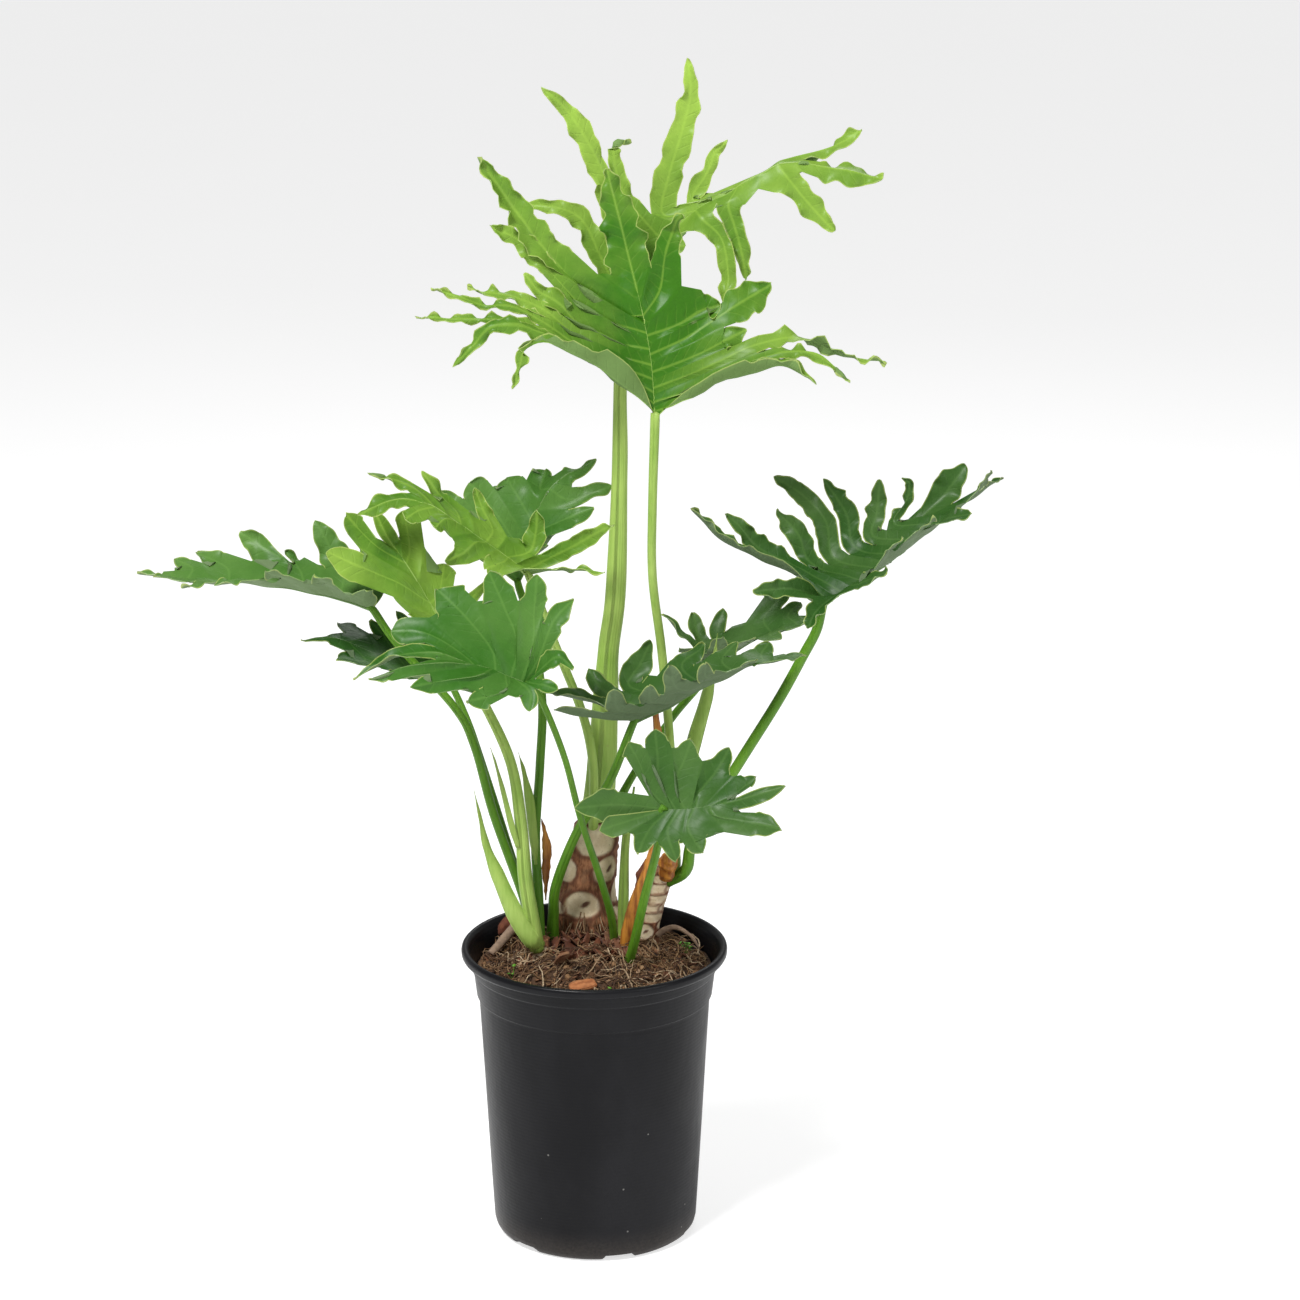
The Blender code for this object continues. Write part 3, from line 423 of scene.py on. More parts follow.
# %% Table of the ribs
# All lengths are in millimetres from the middle of the pot's foot, and points are x y z.
# leaf: name, finish, tip width, spread and crowd (where the ribs leave the midrib), fold and flap
# (how the margin beside the petiole turns up); overlapping lobes keep their width where they crowd.
# spine: base and midrib.  left and right: one lobe each, petiole end first, with its half width,
# share of its rib inside the web, and rib points outwards.  notch: side, lobe, depth if not full.
LEAF_TABLE = """
leaf top_front young  17 0.38 1.3 1.5 16 overlapping
spine 50 -10 692  47 -4 736  40 2 775  30 8 815  22 10 848  12 12 887
left 7 0.4  18 -22 727  -25 -30 755  -50 -34 752  -56 -35 737  -61 -36 721
left 7 0.48  12 -20 733  -40 -26 765  -75 -30 770  -92 -32 755  -108 -34 738
left 5 0.5  8 -16 738  -50 -20 770  -95 -18 774  -138 -18 775
left 5 0.5  5 -12 742  -50 -12 778  -85 -10 784  -126 -8 796
left 7 0.55  3 -6 748  -40 -4 780  -70 -2 790  -98 2 797
left 8 0.6  4 0 755  -25 2 782  -42 4 792  -53 6 806
left 9 0.6  2 4 772  -25 6 798  -52 8 828  -80 8 843
left 13 0.42  14 6 772  -12 8 796  -38 8 826  -60 10 856  -88 8 897
notch left 6 0.9
right 8 0.6  70 -22 708  105 -28 729  150 -32 739  176 -34 724
right 6 0.6  80 -18 718  125 -22 741  165 -24 749  190 -26 738  203 -28 725
right 9 0.42  86 -12 732  130 -12 752  165 -12 758  200 -14 745  232 -16 738
right 9 0.72  82 -6 742  108 -6 755  122 -6 763
right 15 0.62  74 0 755  105 2 775  128 4 789  142 4 797
right 10 0.82  68 4 765  86 6 776  101 8 780
right 9 0.6  54 8 792  58 10 820  64 12 838  70 12 852
notch right 5 0.9
leaf top_back young  13 0.66 1.15 0.4 0
spine 24 45 762  45 50 805  72 52 840  105 50 862  132 46 878  162 44 888  230 40 876
left 9 0.2  8 52 808  -8 56 840  -30 58 850  -57 58 852
left 11 0.12  20 54 840  12 56 870  -2 56 900  -20 54 928  -40 52 946
left 7 0.3  26 58 860  17 60 894  22 62 903  31 64 901
left 11 0.16  56 58 845  61 60 875  72 62 912  78 62 940  76 62 968
left 7 0.16  80 58 856  92 60 878  98 62 893  108 62 903
left 8 0.3  150 52 889  185 54 897  214 56 912
right 7 0.5  32 38 780  38 34 783
right 9 0.5  50 38 796  60 34 808
right 7 0.5  66 42 822  74 38 822
right 8 0.12  88 38 843  103 32 828  108 28 800  107 24 782  122 22 766
right 8 0.16  108 42 855  113 40 838  119 38 816  123 38 794
right 10 0.2  155 38 876  170 36 858  192 34 834
leaf right dark  11 0.72 1.15 1.2 11
spine 186 10 535  214 12 555  255 18 582  295 22 614  331 25 636
left 10 0.36  164 24 557  134 28 569  104 30 586  80 32 610
left 10 0.42  165 34 562  136 42 574  118 46 592  108 48 602
left 12 0.34  178 40 562  168 50 582  158 56 594  149 60 602
left 13 0.3  196 44 566  190 56 592  172 66 612  147 70 628
left 11 0.32  214 44 574  207 56 598  197 62 614  187 65 627
left 10 0.36  228 42 584  231 52 602  233 58 628
left 5 0.5  244 38 596  255 44 616  256 46 628  250 46 632
left 16 0.55  258 34 592  282 40 616  302 44 643
right 8 0.5  160 -4 552  128 -16 553
right 8 0.5  181 -12 537  172 -28 526
right 9 0.55  208 -10 556  234 -30 574
right 7 0.6  236 -6 580  246 -22 600
right 6 0.6  258 -2 596  273 -16 614
right 7 0.6  284 6 608  302 -8 614
right 6 0.6  308 12 632  318 6 648
leaf right_low dark  9 0.74 1.15 1.1 12
spine 33 -20 445  60 -22 459  100 -20 480  140 -15 494  172 -10 497
left 10 0.5  0 -6 458  -42 4 463
left 10 0.55  10 2 464  -4 18 479
left 12 0.5  30 4 468  38 14 484  47 20 502
left 10 0.6  72 4 484  90 18 500
left 9 0.6  104 0 492  117 16 502
left 8 0.6  136 0 497  143 11 503
right 9 0.6  5 -34 452  -31 -42 462
right 9 0.6  22 -38 460  18 -52 482
right 9 0.6  48 -38 467  45 -50 484
right 9 0.6  68 -36 478  62 -46 500
right 8 0.6  92 -32 486  90 -42 500
right 8 0.6  122 -24 494  132 -32 500
leaf right_back dark  8 0.74 1.15 0.6 6
spine 96 60 468  127 60 489  157 60 504  188 55 513
left 7 0.5  80 68 488  56 75 510
left 9 0.55  88 76 488  82 86 508
left 8 0.5  102 76 490  108 90 511
left 13 0.6  140 74 506  150 80 518  162 85 530
left 8 0.6  160 70 510  171 80 519
right 8 0.6  85 50 478  70 45 490
right 8 0.6  103 47 486  106 42 501
right 8 0.6  122 47 493  131 38 500
right 7 0.6  145 48 499  153 38 499
right 6 0.6  168 50 508  176 44 514
leaf left_far mid  6 0.76 1.15 0.9 8
spine -178 5 533  -216 8 545  -262 12 550  -312 15 555  -368 15 560
left 9 0.6  -184 -12 546  -182 -22 556
left 9 0.6  -212 -6 555  -222 -18 568
left 8 0.6  -248 -4 560  -262 -14 570
left 8 0.6  -282 -4 560  -302 -20 559
left 7 0.6  -308 -4 556  -328 -20 557
left 6 0.6  -338 4 559  -352 -8 562
right 9 0.65  -176 22 546  -168 36 547
right 12 0.42  -203 28 556  -216 42 578  -227 50 596
right 7 0.7  -238 28 560  -251 40 572
right 14 0.48  -246 30 562  -268 42 574  -288 50 585
right 9 0.6  -298 30 562  -323 45 570
right 6 0.65  -325 24 562  -340 34 567
leaf left_low dark  4 0.66 1.15 0.4 0
spine -115 25 460  -152 28 478  -188 30 494  -212 30 502  -239 30 500
left 8 0.6  -129 18 464  -124 12 466
left 9 0.65  -154 12 478  -162 -4 482
left 12 0.7  -186 18 486  -208 8 490
right 7 0.6  -138 44 484  -162 54 519
right 6 0.65  -168 44 494  -184 55 510
right 12 0.7  -190 44 500  -210 55 508
leaf left_bright young  10 0.56 1.15 0.2 0
spine -118 0 508  -123 0 523  -136 2 548  -151 4 572  -164 7 590  -175 12 612
left 7 0.6  -132 -3 518  -148 -8 532
left 14 0.66  -156 -2 556  -184 -7 570  -212 -10 584
left 9 0.78  -172 3 584  -186 3 598  -198 3 612
right 5 0.45  -112 6 524  -100 8 538  -85 10 555
right 10 0.8  -124 8 545  -120 12 568
right 13 0.84  -147 12 582  -152 17 611
leaf left_high young  9 0.56 1.15 0.3 0
spine -52 10 560  -65 5 574  -82 2 587  -104 -2 604  -129 -6 621  -157 -12 628  -186 -24 616
left 5 0.35  -34 4 566  -12 -4 568  10 -8 567
left 12 0.7  -72 -6 574  -84 -18 572
left 8 0.62  -93 -10 592  -104 -18 584  -118 -24 580
left 8 0.8  -116 -12 612  -124 -22 607
left 7 0.8  -138 -14 619  -148 -22 614
right 7 0.32  -38 12 572  -14 8 585  4 2 597  18 -3 605
right 9 0.3  -51 16 578  -46 20 594  -45 22 612
right 6 0.45  -80 12 597  -88 16 612  -95 18 630
right 6 0.5  -110 8 616  -125 12 629  -137 14 645
right 5 0.4  -142 2 632  -162 2 643  -178 -2 647
leaf left_back mid  9 0.62 1.15 0.2 0
spine -62 55 540  -58 60 575  -45 64 604  -25 68 628  2 72 642
left 16 0.85  -92 62 574  -128 66 614
left 14 0.88  -82 68 600  -102 74 622
left 14 0.88  -62 72 610  -72 80 624
left 10 0.85  -44 76 616  -40 84 630
right 9 0.7  -50 48 565  -38 44 578
right 9 0.66  -32 54 592  0 54 605
right 9 0.5  -18 62 610  15 62 622
leaf left_front mid  10 0.3 1.8 0.3 0
spine -48 -75 492  -71 -80 503  -96 -84 513  -124 -88 522  -153 -92 520  -186 -96 502
left 9 0.45  -36 -84 510  -25 -90 519  -14 -92 510
left 9 0.5  -38 -88 496  -26 -95 494
left 13 0.5  -48 -90 490  -49 -98 477
left 11 0.66  -68 -92 492  -98 -104 486
left 8 0.74  -88 -94 505  -116 -102 503  -141 -106 499
left 6 0.8  -118 -96 516  -147 -102 514  -173 -106 505
notch left 0 0.5
right 10 0.6  -42 -70 512  -30 -60 540  -14 -52 556
right 12 0.74  -46 -68 522  -45 -60 548  -43 -52 576
right 14 0.74  -58 -68 524  -68 -62 550  -81 -54 579
right 15 0.78  -78 -74 520  -99 -66 545  -122 -58 566
right 12 0.84  -102 -80 520  -130 -74 534  -158 -70 535
leaf front_small dark  12 0.36 1.6 0.2 0
spine 55 -85 392  84 -90 395  117 -96 404  153 -102 417
left 15 0.5  34 -83 395  13 -82 395  -14 -82 392
left 9 0.84  45 -80 408  38 -76 426  29 -72 444
left 9 0.84  54 -78 412  52 -72 432  50 -67 453
left 9 0.8  65 -80 410  73 -74 429  79 -70 446
left 10 0.66  84 -83 404  98 -78 421  109 -74 440
left 8 0.8  114 -92 408  130 -90 420
notch left 0 0.45
right 9 0.8  38 -90 387  22 -94 383  6 -96 378
right 8 0.7  46 -94 379  36 -102 360
right 8 0.66  60 -96 378  67 -108 357
right 9 0.74  76 -98 381  88 -110 364
right 11 0.62  98 -99 391  126 -105 388  150 -110 384
"""
HABITS = ("tip_width", "spread", "crowd", "fold", "flap")

LEAVES = []
for line in LEAF_TABLE.strip().splitlines():
    kind, *words = line.split()
    if kind == "leaf":
        LEAVES.append(dict(zip(HABITS, map(float, words[2:7])), overlapping=len(words) > 7))
        LEAVES[-1].update(name=words[0], finish=words[1], left=[], right=[], notches={})
    elif kind == "spine":
        LEAVES[-1]["spine"] = vectors(groups(words, 3))
    elif kind == "notch":
        LEAVES[-1]["notches"][words[0], int(words[1])] = float(words[2])
    else:
        lobe = (float(words[0]), float(words[1]), vectors(groups(words[2:], 3)))
        LEAVES[-1][kind].append(lobe)
lobe_count = sum(len(leaf["left"]) + len(leaf["right"]) + 1 for leaf in LEAVES)
print(len(LEAVES), "leaves with", lobe_count, "lobes")

# %% [markdown]
# ## One half of a lobe
# Half a lobe is a grid.  Its rows run from the midrib out to the tip, and its columns run from
# the rib to the margin.  Rows inside the web end on a line that the neighbouring lobe also ends
# on, so the sheet closes.  Past the notch the margin leaves that line along a quarter circle,
# which gives the round bottom of a real notch, and then follows the lobe's own width to a blunt
# tip.

# %% Growing a blade
WEB_ROWS = 9
LOBE_ROWS = 30
COLUMNS = 7
TERMINAL_GAP = 0.12
TIP_WEB = 0.12
NOTCH_ROUND = 0.22
ELBOW_ROOM = 0.47
SWELL_LENGTH = 24


def lobe_shares(count, leaf):
    """Where the lobes leave the midrib: closer together near the petiole."""
    return [0.03 + leaf["spread"] * (i / max(1, count - 1)) ** leaf["crowd"] for i in range(count)]


def wander(turns, seed):
    """An uneven wave: two sines that drift in and out of step, between about -1 and 1."""
    slow = math.sin(2 * math.pi * turns + seed)
    return 0.65 * slow + 0.5 * math.sin(2 * math.pi * 1.63 * turns + 2.4 * seed)


class Blade:
    """Lofts one blade from its ribs and remembers where the ribs run."""

    def __init__(self, leaf, look):
        self.leaf, self.look = leaf, look
        self.sheet = Surface("rib", "margin", "along", "tone")
        self.midrib = Route(leaf["spine"])
        self.dice = random.Random("blade_" + leaf["name"])
        self.spine = {}
        self.ribs = []
        for hand, side in ((1, "left"), (-1, "right")):
            self.grow_side(leaf[side], hand, side)

    def grow_side(self, lobes, hand, side):
        midrib, last = self.midrib, self.leaf["spread"] + TERMINAL_GAP
        shares = [*lobe_shares(len(lobes), self.leaf), last]
        costae = [Route([midrib.at(s), *lobe[2]]) for s, lobe in zip(shares, lobes)]
        tip_run = [last + (1 - last) * i / 4 for i in range(5)]
        costae.append(Route([midrib.at(s) for s in tip_run]))
        widths = [lobe[0] for lobe in lobes] + [self.leaf["tip_width"]]
        webs = [lobe[1] for lobe in lobes] + [TIP_WEB]
        starts = [(a + b) / 2 for a, b in zip(shares, shares[1:])]
        ends = [costa.at(web) for costa, web in zip(costae, webs)]
        seams = []
        for i, start in enumerate(starts):
            depth = self.leaf["notches"].get((side, i), 1)
            seams.append(self.seam(midrib.at(start), ends[i], ends[i + 1], depth, hand))
        for i, costa in enumerate(costae):
            tone = self.look["tone"] + 0.25 * self.dice.random()
            waves = [self.dice.uniform(0, 2 * math.pi) for _ in range(4)]
            column = None
            for upper in (False, True):
                if upper and i == len(lobes):
                    continue
                if upper or i > 0:
                    k = i if upper else i - 1
                    seam, start, near = seams[k], starts[k], costae[i + 1 if upper else k]
                else:
                    seam = self.free_seam(costa, seams[0], webs[0], widths[0], hand)
                    start, near = 0.0, None
                near = None if self.leaf["overlapping"] else near
                rows = self.rows(costa, seam, webs[i], widths[i], waves, near)
                flip = (hand == 1) != upper
                column = self.half(costa, rows, shares[i], start, flip, tone, waves)
            self.ribs.append((column, i == len(lobes)))

    def seam(self, start, a, b, depth, hand):
        """The line from the midrib to the notch between two lobes, arched a little upwards."""
        notch = start.lerp((a + b) / 2, depth)
        up = (b - a).cross(notch - start) * hand
        up.normalize()
        arch = self.look["quilt"] * min(1.0, (notch - start).length / 40)
        return [
            start.lerp(notch, r / WEB_ROWS) + up * arch * math.sin(math.pi * r / WEB_ROWS)
            for r in range(WEB_ROWS + 1)
        ]

    def free_seam(self, costa, neighbour, web, width, hand):
        """The margin beside the petiole, which no other lobe shares and which may fold upwards."""
        across = neighbour[-1] - costa.at(web)
        ahead, fold = costa.along(web), self.leaf["fold"]
        out = (across - ahead * across.dot(ahead)).normalized()
        up = out.cross(ahead) * hand
        away = up * math.sin(fold) - out * math.cos(fold)
        flap = self.leaf["flap"]
        bulges = [0.5 * flap * math.sin(math.pi * r / WEB_ROWS) for r in range(WEB_ROWS + 1)]
        start, notch = self.midrib.at(0), costa.at(web) + away * max(width, flap)
        return [start.lerp(notch, r / WEB_ROWS) + away * bulge for r, bulge in enumerate(bulges)]

    def rows(self, costa, seam, web, width, waves, neighbour):
        """Rib point, margin point, ruffle share and share of the rib, from the midrib outwards."""
        look = self.look
        for r in range(WEB_ROWS + 1):
            yield costa.at(web * r / WEB_ROWS), seam[r], 0.0, web * r / WEB_ROWS
        reach = seam[-1] - costa.at(web)
        for r in range(1, LOBE_ROWS + 1):
            u = 0.35 * r / LOBE_ROWS + 0.65 * math.sin(math.pi / 2 * r / LOBE_ROWS)
            share = web + (1 - web) * u
            ahead = costa.along(share)
            side = reach - ahead * reach.dot(ahead)
            near = max(0.0, 1 - u / NOTCH_ROUND)
            pull = 1 - math.sqrt(max(0.0, 1 - near * near))
            full = width + (side.length - width) * pull
            length = share * costa.length
            free = smooth(u * 5)
            bump = length / look["bump_length"]
            full *= 1 + look["bumps"] * wander(bump, waves[0]) * free
            teeth = 0.5 - abs(math.sin(math.pi * bump + waves[1]))
            full *= 1 + look["teeth"] * teeth * free
            room = ELBOW_ROOM * neighbour.distance(costa.at(share)) if neighbour else full
            full = max(0.0, min(full, room + (side.length - room) * pull))
            taper = max(0.0, 1 - u ** look["blunt"]) ** look["point"]
            yield costa.at(share), costa.at(share) + side.normalized() * full * taper, free, share

    def half(self, costa, rows, root, start, flip, tone, waves):
        look, sheet = self.look, self.sheet
        grid, column = [], []
        phase = waves[2] if flip else waves[3]
        for row, (rib, edge, free, share) in enumerate(rows):
            ahead = costa.along(share)
            across = edge - rib
            up = ahead.cross(across) * (-1 if flip else 1)
            up = up.normalized() if up.length > 1e-6 else Vector((0, 0, 0))
            arch = look["quilt"] * min(1.0, across.length / 14)
            length = share * costa.length
            ruffle = look["ruffle"] * free * wander(length / look["ruffle_length"], phase)
            line = []
            for col in range(COLUMNS + 1):
                c = (col / COLUMNS) ** 0.85
                point = rib + across * c
                if row == 0:
                    point = self.midrib.at(root + (start - root) * c)
                elif free == 0.0:
                    point += up * arch * (math.sin(math.pi / 2 * c) - c) * 2
                else:
                    point += up * (arch * 0.5 * math.sin(math.pi * c) + ruffle * c * c)
                line.append(sheet.add(
                    point, merge=True, rib=across.length * c, along=length, tone=tone,
                    margin=across.length * (1 - c) if free or start == 0.0 else 9.0,
                ))
            if row == 0:
                for c, v in enumerate(line):
                    self.spine[root + (start - root) * (c / COLUMNS) ** 0.85] = v
            column.append(line[0])
            grid.append(line)
        for lower, upper_row in zip(grid, grid[1:]):
            for c in range(COLUMNS):
                sheet.face([lower[c], lower[c + 1], upper_row[c + 1], upper_row[c]], 0, flip)
        return column

    def swell(self, up):
        """Lets the sheet rise and sink a little, as a living leaf does, but not at its petiole."""
        sheet, base = self.sheet, self.leaf["spine"][0]
        for v, point in enumerate(sheet.points):
            away = smooth((point - base).length / 40)
            height = noise.noise(point / SWELL_LENGTH) * self.look["swell"] * away
            sheet.points[v] = point + up[v] * height

    def thicken(self, depth, rim):
        """Adds the underside and the rim, a little thinner at the margin."""
        sheet = self.sheet
        self.swell(sheet.normals())
        up = sheet.normals()
        top = list(sheet.faces)
        count = len(sheet.points)
        for v in range(count):
            thin = smooth(sheet.measures["margin"][v] / 3)
            low = sheet.points[v] - up[v] * (rim + (depth - rim) * thin)
            sheet.add(low, **{name: kept[v] for name, kept in sheet.measures.items()})
        edges = {(a, b): True for ring in top for a, b in zip(ring, ring[1:] + ring[:1])}
        for ring in top:
            sheet.face([v + count for v in ring], 1, flip=True)
        for a, b in edges:
            if (b, a) not in edges:
                sheet.face([b, a, a + count, b + count], 2)
        return up

    def add_ribs(self, up):
        """Tapered ribs under the sheet, whose backs just break its upper face."""
        sheet, look = self.sheet, self.look
        spine = [self.spine[key] for key in sorted(self.spine)]
        self.add_rib(spine, up, look["midrib"], look["midrib"] * 0.22, 3)
        for column, is_tip in self.ribs:
            if not is_tip:
                self.add_rib(column, up, look["midrib"] * 0.3, 0.12, 3, 1.06)
        ends = next(column for column, is_tip in self.ribs if is_tip)
        self.add_rib(ends, up, look["midrib"] * 0.24, 0.12, 3)

    def add_rib(self, column, up, thick, thin, slot, sunk=0.92):
        points = [self.sheet.points[v] for v in column]
        kept = [0]
        for k in range(1, len(points)):
            if (points[k] - points[kept[-1]]).length > 1.2:
                kept.append(k)
        if len(kept) < 3:
            return
        radii = [thick + (thin - thick) * (k / (len(kept) - 1)) ** 0.7 for k in range(len(kept))]
        centres = [
            points[k] - up[column[k]] * (radius * sunk) for k, radius in zip(kept, radii)
        ]
        self.sheet.tube(centres, radii, 7, slot, rib=0.0, margin=9.0)


print("a blade has", (WEB_ROWS + LOBE_ROWS) * COLUMNS, "patches in each half of each lobe")

# %% [markdown]
# ## Leaf finishes
# The upper face of a leaf is waxy: it is darker between the ribs and paler beside them, and fine
# side veins run out from each rib towards the margin.  The underside is duller and greyer, the
# margin is a thin pale line, partly the leaf's own pale edge and partly a painted highlight along
# the edge, and the ribs are yellow-green.  The mesh carries the distance to the nearest rib and to
# the margin, so the finish can place all of this without any picture.

# %% Leaf finishes


def leaf_face(name, deep, light, dull=0.0, gloss=0.36):
    """One face of a blade: the deep colour between ribs, the light colour near them."""
    wax = 0.0 if dull else 0.14
    finish = Finish(name, Specular_IOR_Level=0.1, Coat_Weight=wax, Coat_Roughness=0.3)
    rib, margin, along, tone = (finish.grown(m) for m in ("rib", "margin", "along", "tone"))
    cloudy = finish.cloud(26, 3)
    fine = finish.cloud(240, 3)
    blotch = finish.cloud(9, 2, 0.4)
    outwards = along.ramped(15, 120)
    patches = (blotch * 0.9 + cloudy * 0.7 + tone + outwards * 0.35 - 0.98)
    base = finish.blend(patches, deep, light)
    near_rib = 1 - rib.ramped(0.2, 1.7)
    pale = shade(light, 1.25)
    base = finish.blend(near_rib * 0.22, base, pale)
    wander = finish.cloud(60, 2) * 3
    vein = (along - rib * 0.75 + wander * 1.6).wave(9) ** 18
    fading = (1 - rib.ramped(5, 16)) * rib.ramped(0.3, 1.5)
    base = finish.blend(vein * fading * 0.06, base, pale)
    # The last millimetre of the margin is blended towards pale yellow-green: partly the leaf's own
    # pale edge, partly a painted highlight along the edge.
    base = finish.blend((1 - margin.ramped(0.15, 1.1)) * 0.55, base, srgb(196, 208, 120))
    speck = finish.node(
        "ShaderNodeTexVoronoi", {"feature": "DISTANCE_TO_EDGE"},
        {"Vector": finish.place(), "Scale": 700},
    )
    finish.colour(finish.blend((fine * 0.5 + dull) * 0.35, base, shade(deep, 0.55)))
    finish.gloss(cloudy * 0.16 + fine * 0.06 + gloss + vein * 0.05)
    quilting = finish.cloud(95, 2, 0.5)
    finish.relief((quilting, 0.0012), (vein * fading * -1, 0.0002), (speck, 0.00004))
    return finish


def leaf_rib(name, colour):
    finish = Finish(name, 0.45)
    tint = finish.cloud(90, 3)
    finish.colour(finish.blend(tint, shade(colour, 0.75), colour))
    finish.relief((finish.cloud(500, 2, stretch=(1, 1, 0.2)), 0.0001))
    return finish


def leaf_finishes(name, deep, light, under, rib, margin):
    return [
        leaf_face(name + "_upper", deep, light),
        leaf_face(name + "_under", shade(under, 0.8), under, dull=0.3, gloss=0.5),
        # The rim faces get the pale margin finish, which carries the same painted edge highlight.
        leaf_rib(name + "_margin", margin),
        leaf_rib(name + "_rib", rib),
    ]


# deep, light, underside, ribs and margin, whose paleness is partly a painted edge highlight
LEAF_COLOURS = {
    "young": ((56, 110, 20), (158, 192, 78), (118, 150, 84), (152, 186, 88), (162, 192, 104)),
    "mid": ((52, 104, 28), (108, 148, 72), (118, 142, 98), (112, 148, 80), (136, 166, 100)),
    "dark": ((42, 84, 26), (94, 128, 66), (106, 128, 92), (96, 130, 70), (122, 150, 92)),
}
LEAF_FINISHES = {
    age: leaf_finishes(age + "_leaf", *(srgb(*colour) for colour in colours))
    for age, colours in LEAF_COLOURS.items()
}
print("leaf finishes:", ", ".join(LEAF_FINISHES))

# %% [markdown]
# ## Growing all the blades
# The young leaves at the top have strap-like lobes with strong ruffles.  The older ones below are
# flatter and their lobes are blunt.  A few numbers for each leaf give it that habit.

# %% Blades
BLADE_DEPTH = 0.9
RIM_DEPTH = 0.55
CALM = dict(
    tone=0.0, quilt=1.0, swell=3.0, bumps=0.07, bump_length=26, teeth=0.0, ruffle=1.2,
    ruffle_length=30, blunt=2.4, point=0.7, midrib=1.7,
)
TOOTHED = dict(CALM, bumps=0.08, blunt=2.0, point=0.85)
LOOKS = {
    "top_front": dict(
        CALM, tone=0.12, swell=4.0, bumps=0.22, bump_length=24, ruffle=4.0, ruffle_length=24),
    "top_back": dict(
        CALM, tone=0.45, bumps=0.18, bump_length=30, ruffle=3.5, ruffle_length=26, blunt=3.2),
    "right": dict(
        CALM, tone=0.1, bumps=0.16, bump_length=20, ruffle=2.6, ruffle_length=20, blunt=3.2),
    "right_low": dict(CALM, tone=0.3, bumps=0.12, ruffle=2.4, midrib=1.3),
    "right_back": dict(CALM, tone=0.5, bumps=0.12, ruffle=2.0, midrib=1.3),
    "left_far": dict(CALM, tone=0.55, bumps=0.12, ruffle=3.0, midrib=1.5),
    "left_low": dict(CALM, midrib=1.3),
    "left_bright": dict(CALM, tone=0.4, quilt=1.6, midrib=2.1),
    "left_high": dict(
        CALM, tone=0.42, quilt=2.6, bumps=0.14, ruffle=3.5, ruffle_length=32, blunt=3.0),
    "left_back": dict(CALM, tone=0.4, ruffle=2.5),
    "left_front": dict(TOOTHED, tone=0.18, quilt=1.8, teeth=0.3, bump_length=22, midrib=1.5),
    "front_small": dict(TOOTHED, tone=0.34, quilt=1.6, teeth=0.2, bump_length=20, midrib=1.4),
}

for leaf in LEAVES:
    name, age = leaf["name"], leaf["finish"]
    blade = Blade(leaf, LOOKS[name])
    blade.add_ribs(blade.thicken(BLADE_DEPTH, RIM_DEPTH))
    piece = blade.sheet.build(
        name + "_blade", LEAF_FINISHES[age], age + "_leaf", "blade_" + name, crease=50)
    print(piece.name, len(piece.data.polygons), "faces, midrib", round(blade.midrib.length), "mm")

# %% [markdown]
# ## Stalks
# Each blade stands on a stalk that is nearly round, a little flattened and grooved on its inner
# face. A stalk is thickest where it clasps the trunk and swells again slightly under the blade.
# It is made as a tube along a smooth route, whose section is changed by a formula.  The stalk
# runs a little way into the trunk or the mix at its foot, and into the midrib at its top, as the
# real tissue does.

# %% Stalk finishes


def stalk_finish(name, deep, light, gloss=0.38):
    finish = Finish(name, Specular_IOR_Level=0.25)
    along, around = finish.grown("along"), finish.grown("around")
    streaks = finish.cloud(420, 3, stretch=(1, 1, 0.06))
    patches = finish.cloud(22, 3)
    base = finish.blend(streaks * 0.6 + patches * 0.8 - 0.25, deep, light)
    scuffs = finish.cloud(300, 2, 0.7).ramped(0.66, 0.74)
    base = finish.blend(scuffs * 0.35, base, srgb(150, 150, 90))
    finish.colour(base)
    finish.gloss(patches * 0.15 + streaks * 0.1 + gloss - 0.1)
    lines = (around + patches * 0.02).wave(1 / 24)
    finish.relief((lines, 0.00012), (streaks, 0.0003), (along.wave(40), 0.0001))
    return finish


GREEN_STALK = stalk_finish("green_stalk", srgb(58, 110, 14), srgb(112, 160, 46))
PALE_STALK = stalk_finish("pale_stalk", srgb(108, 152, 44), srgb(192, 216, 118))
STALK_FINISHES = {"green": GREEN_STALK, "pale": PALE_STALK}
print("stalk finishes:", ", ".join(STALK_FINISHES))

# %% Stalks
STALK_STEP = 4
STALK_SIDES = 18

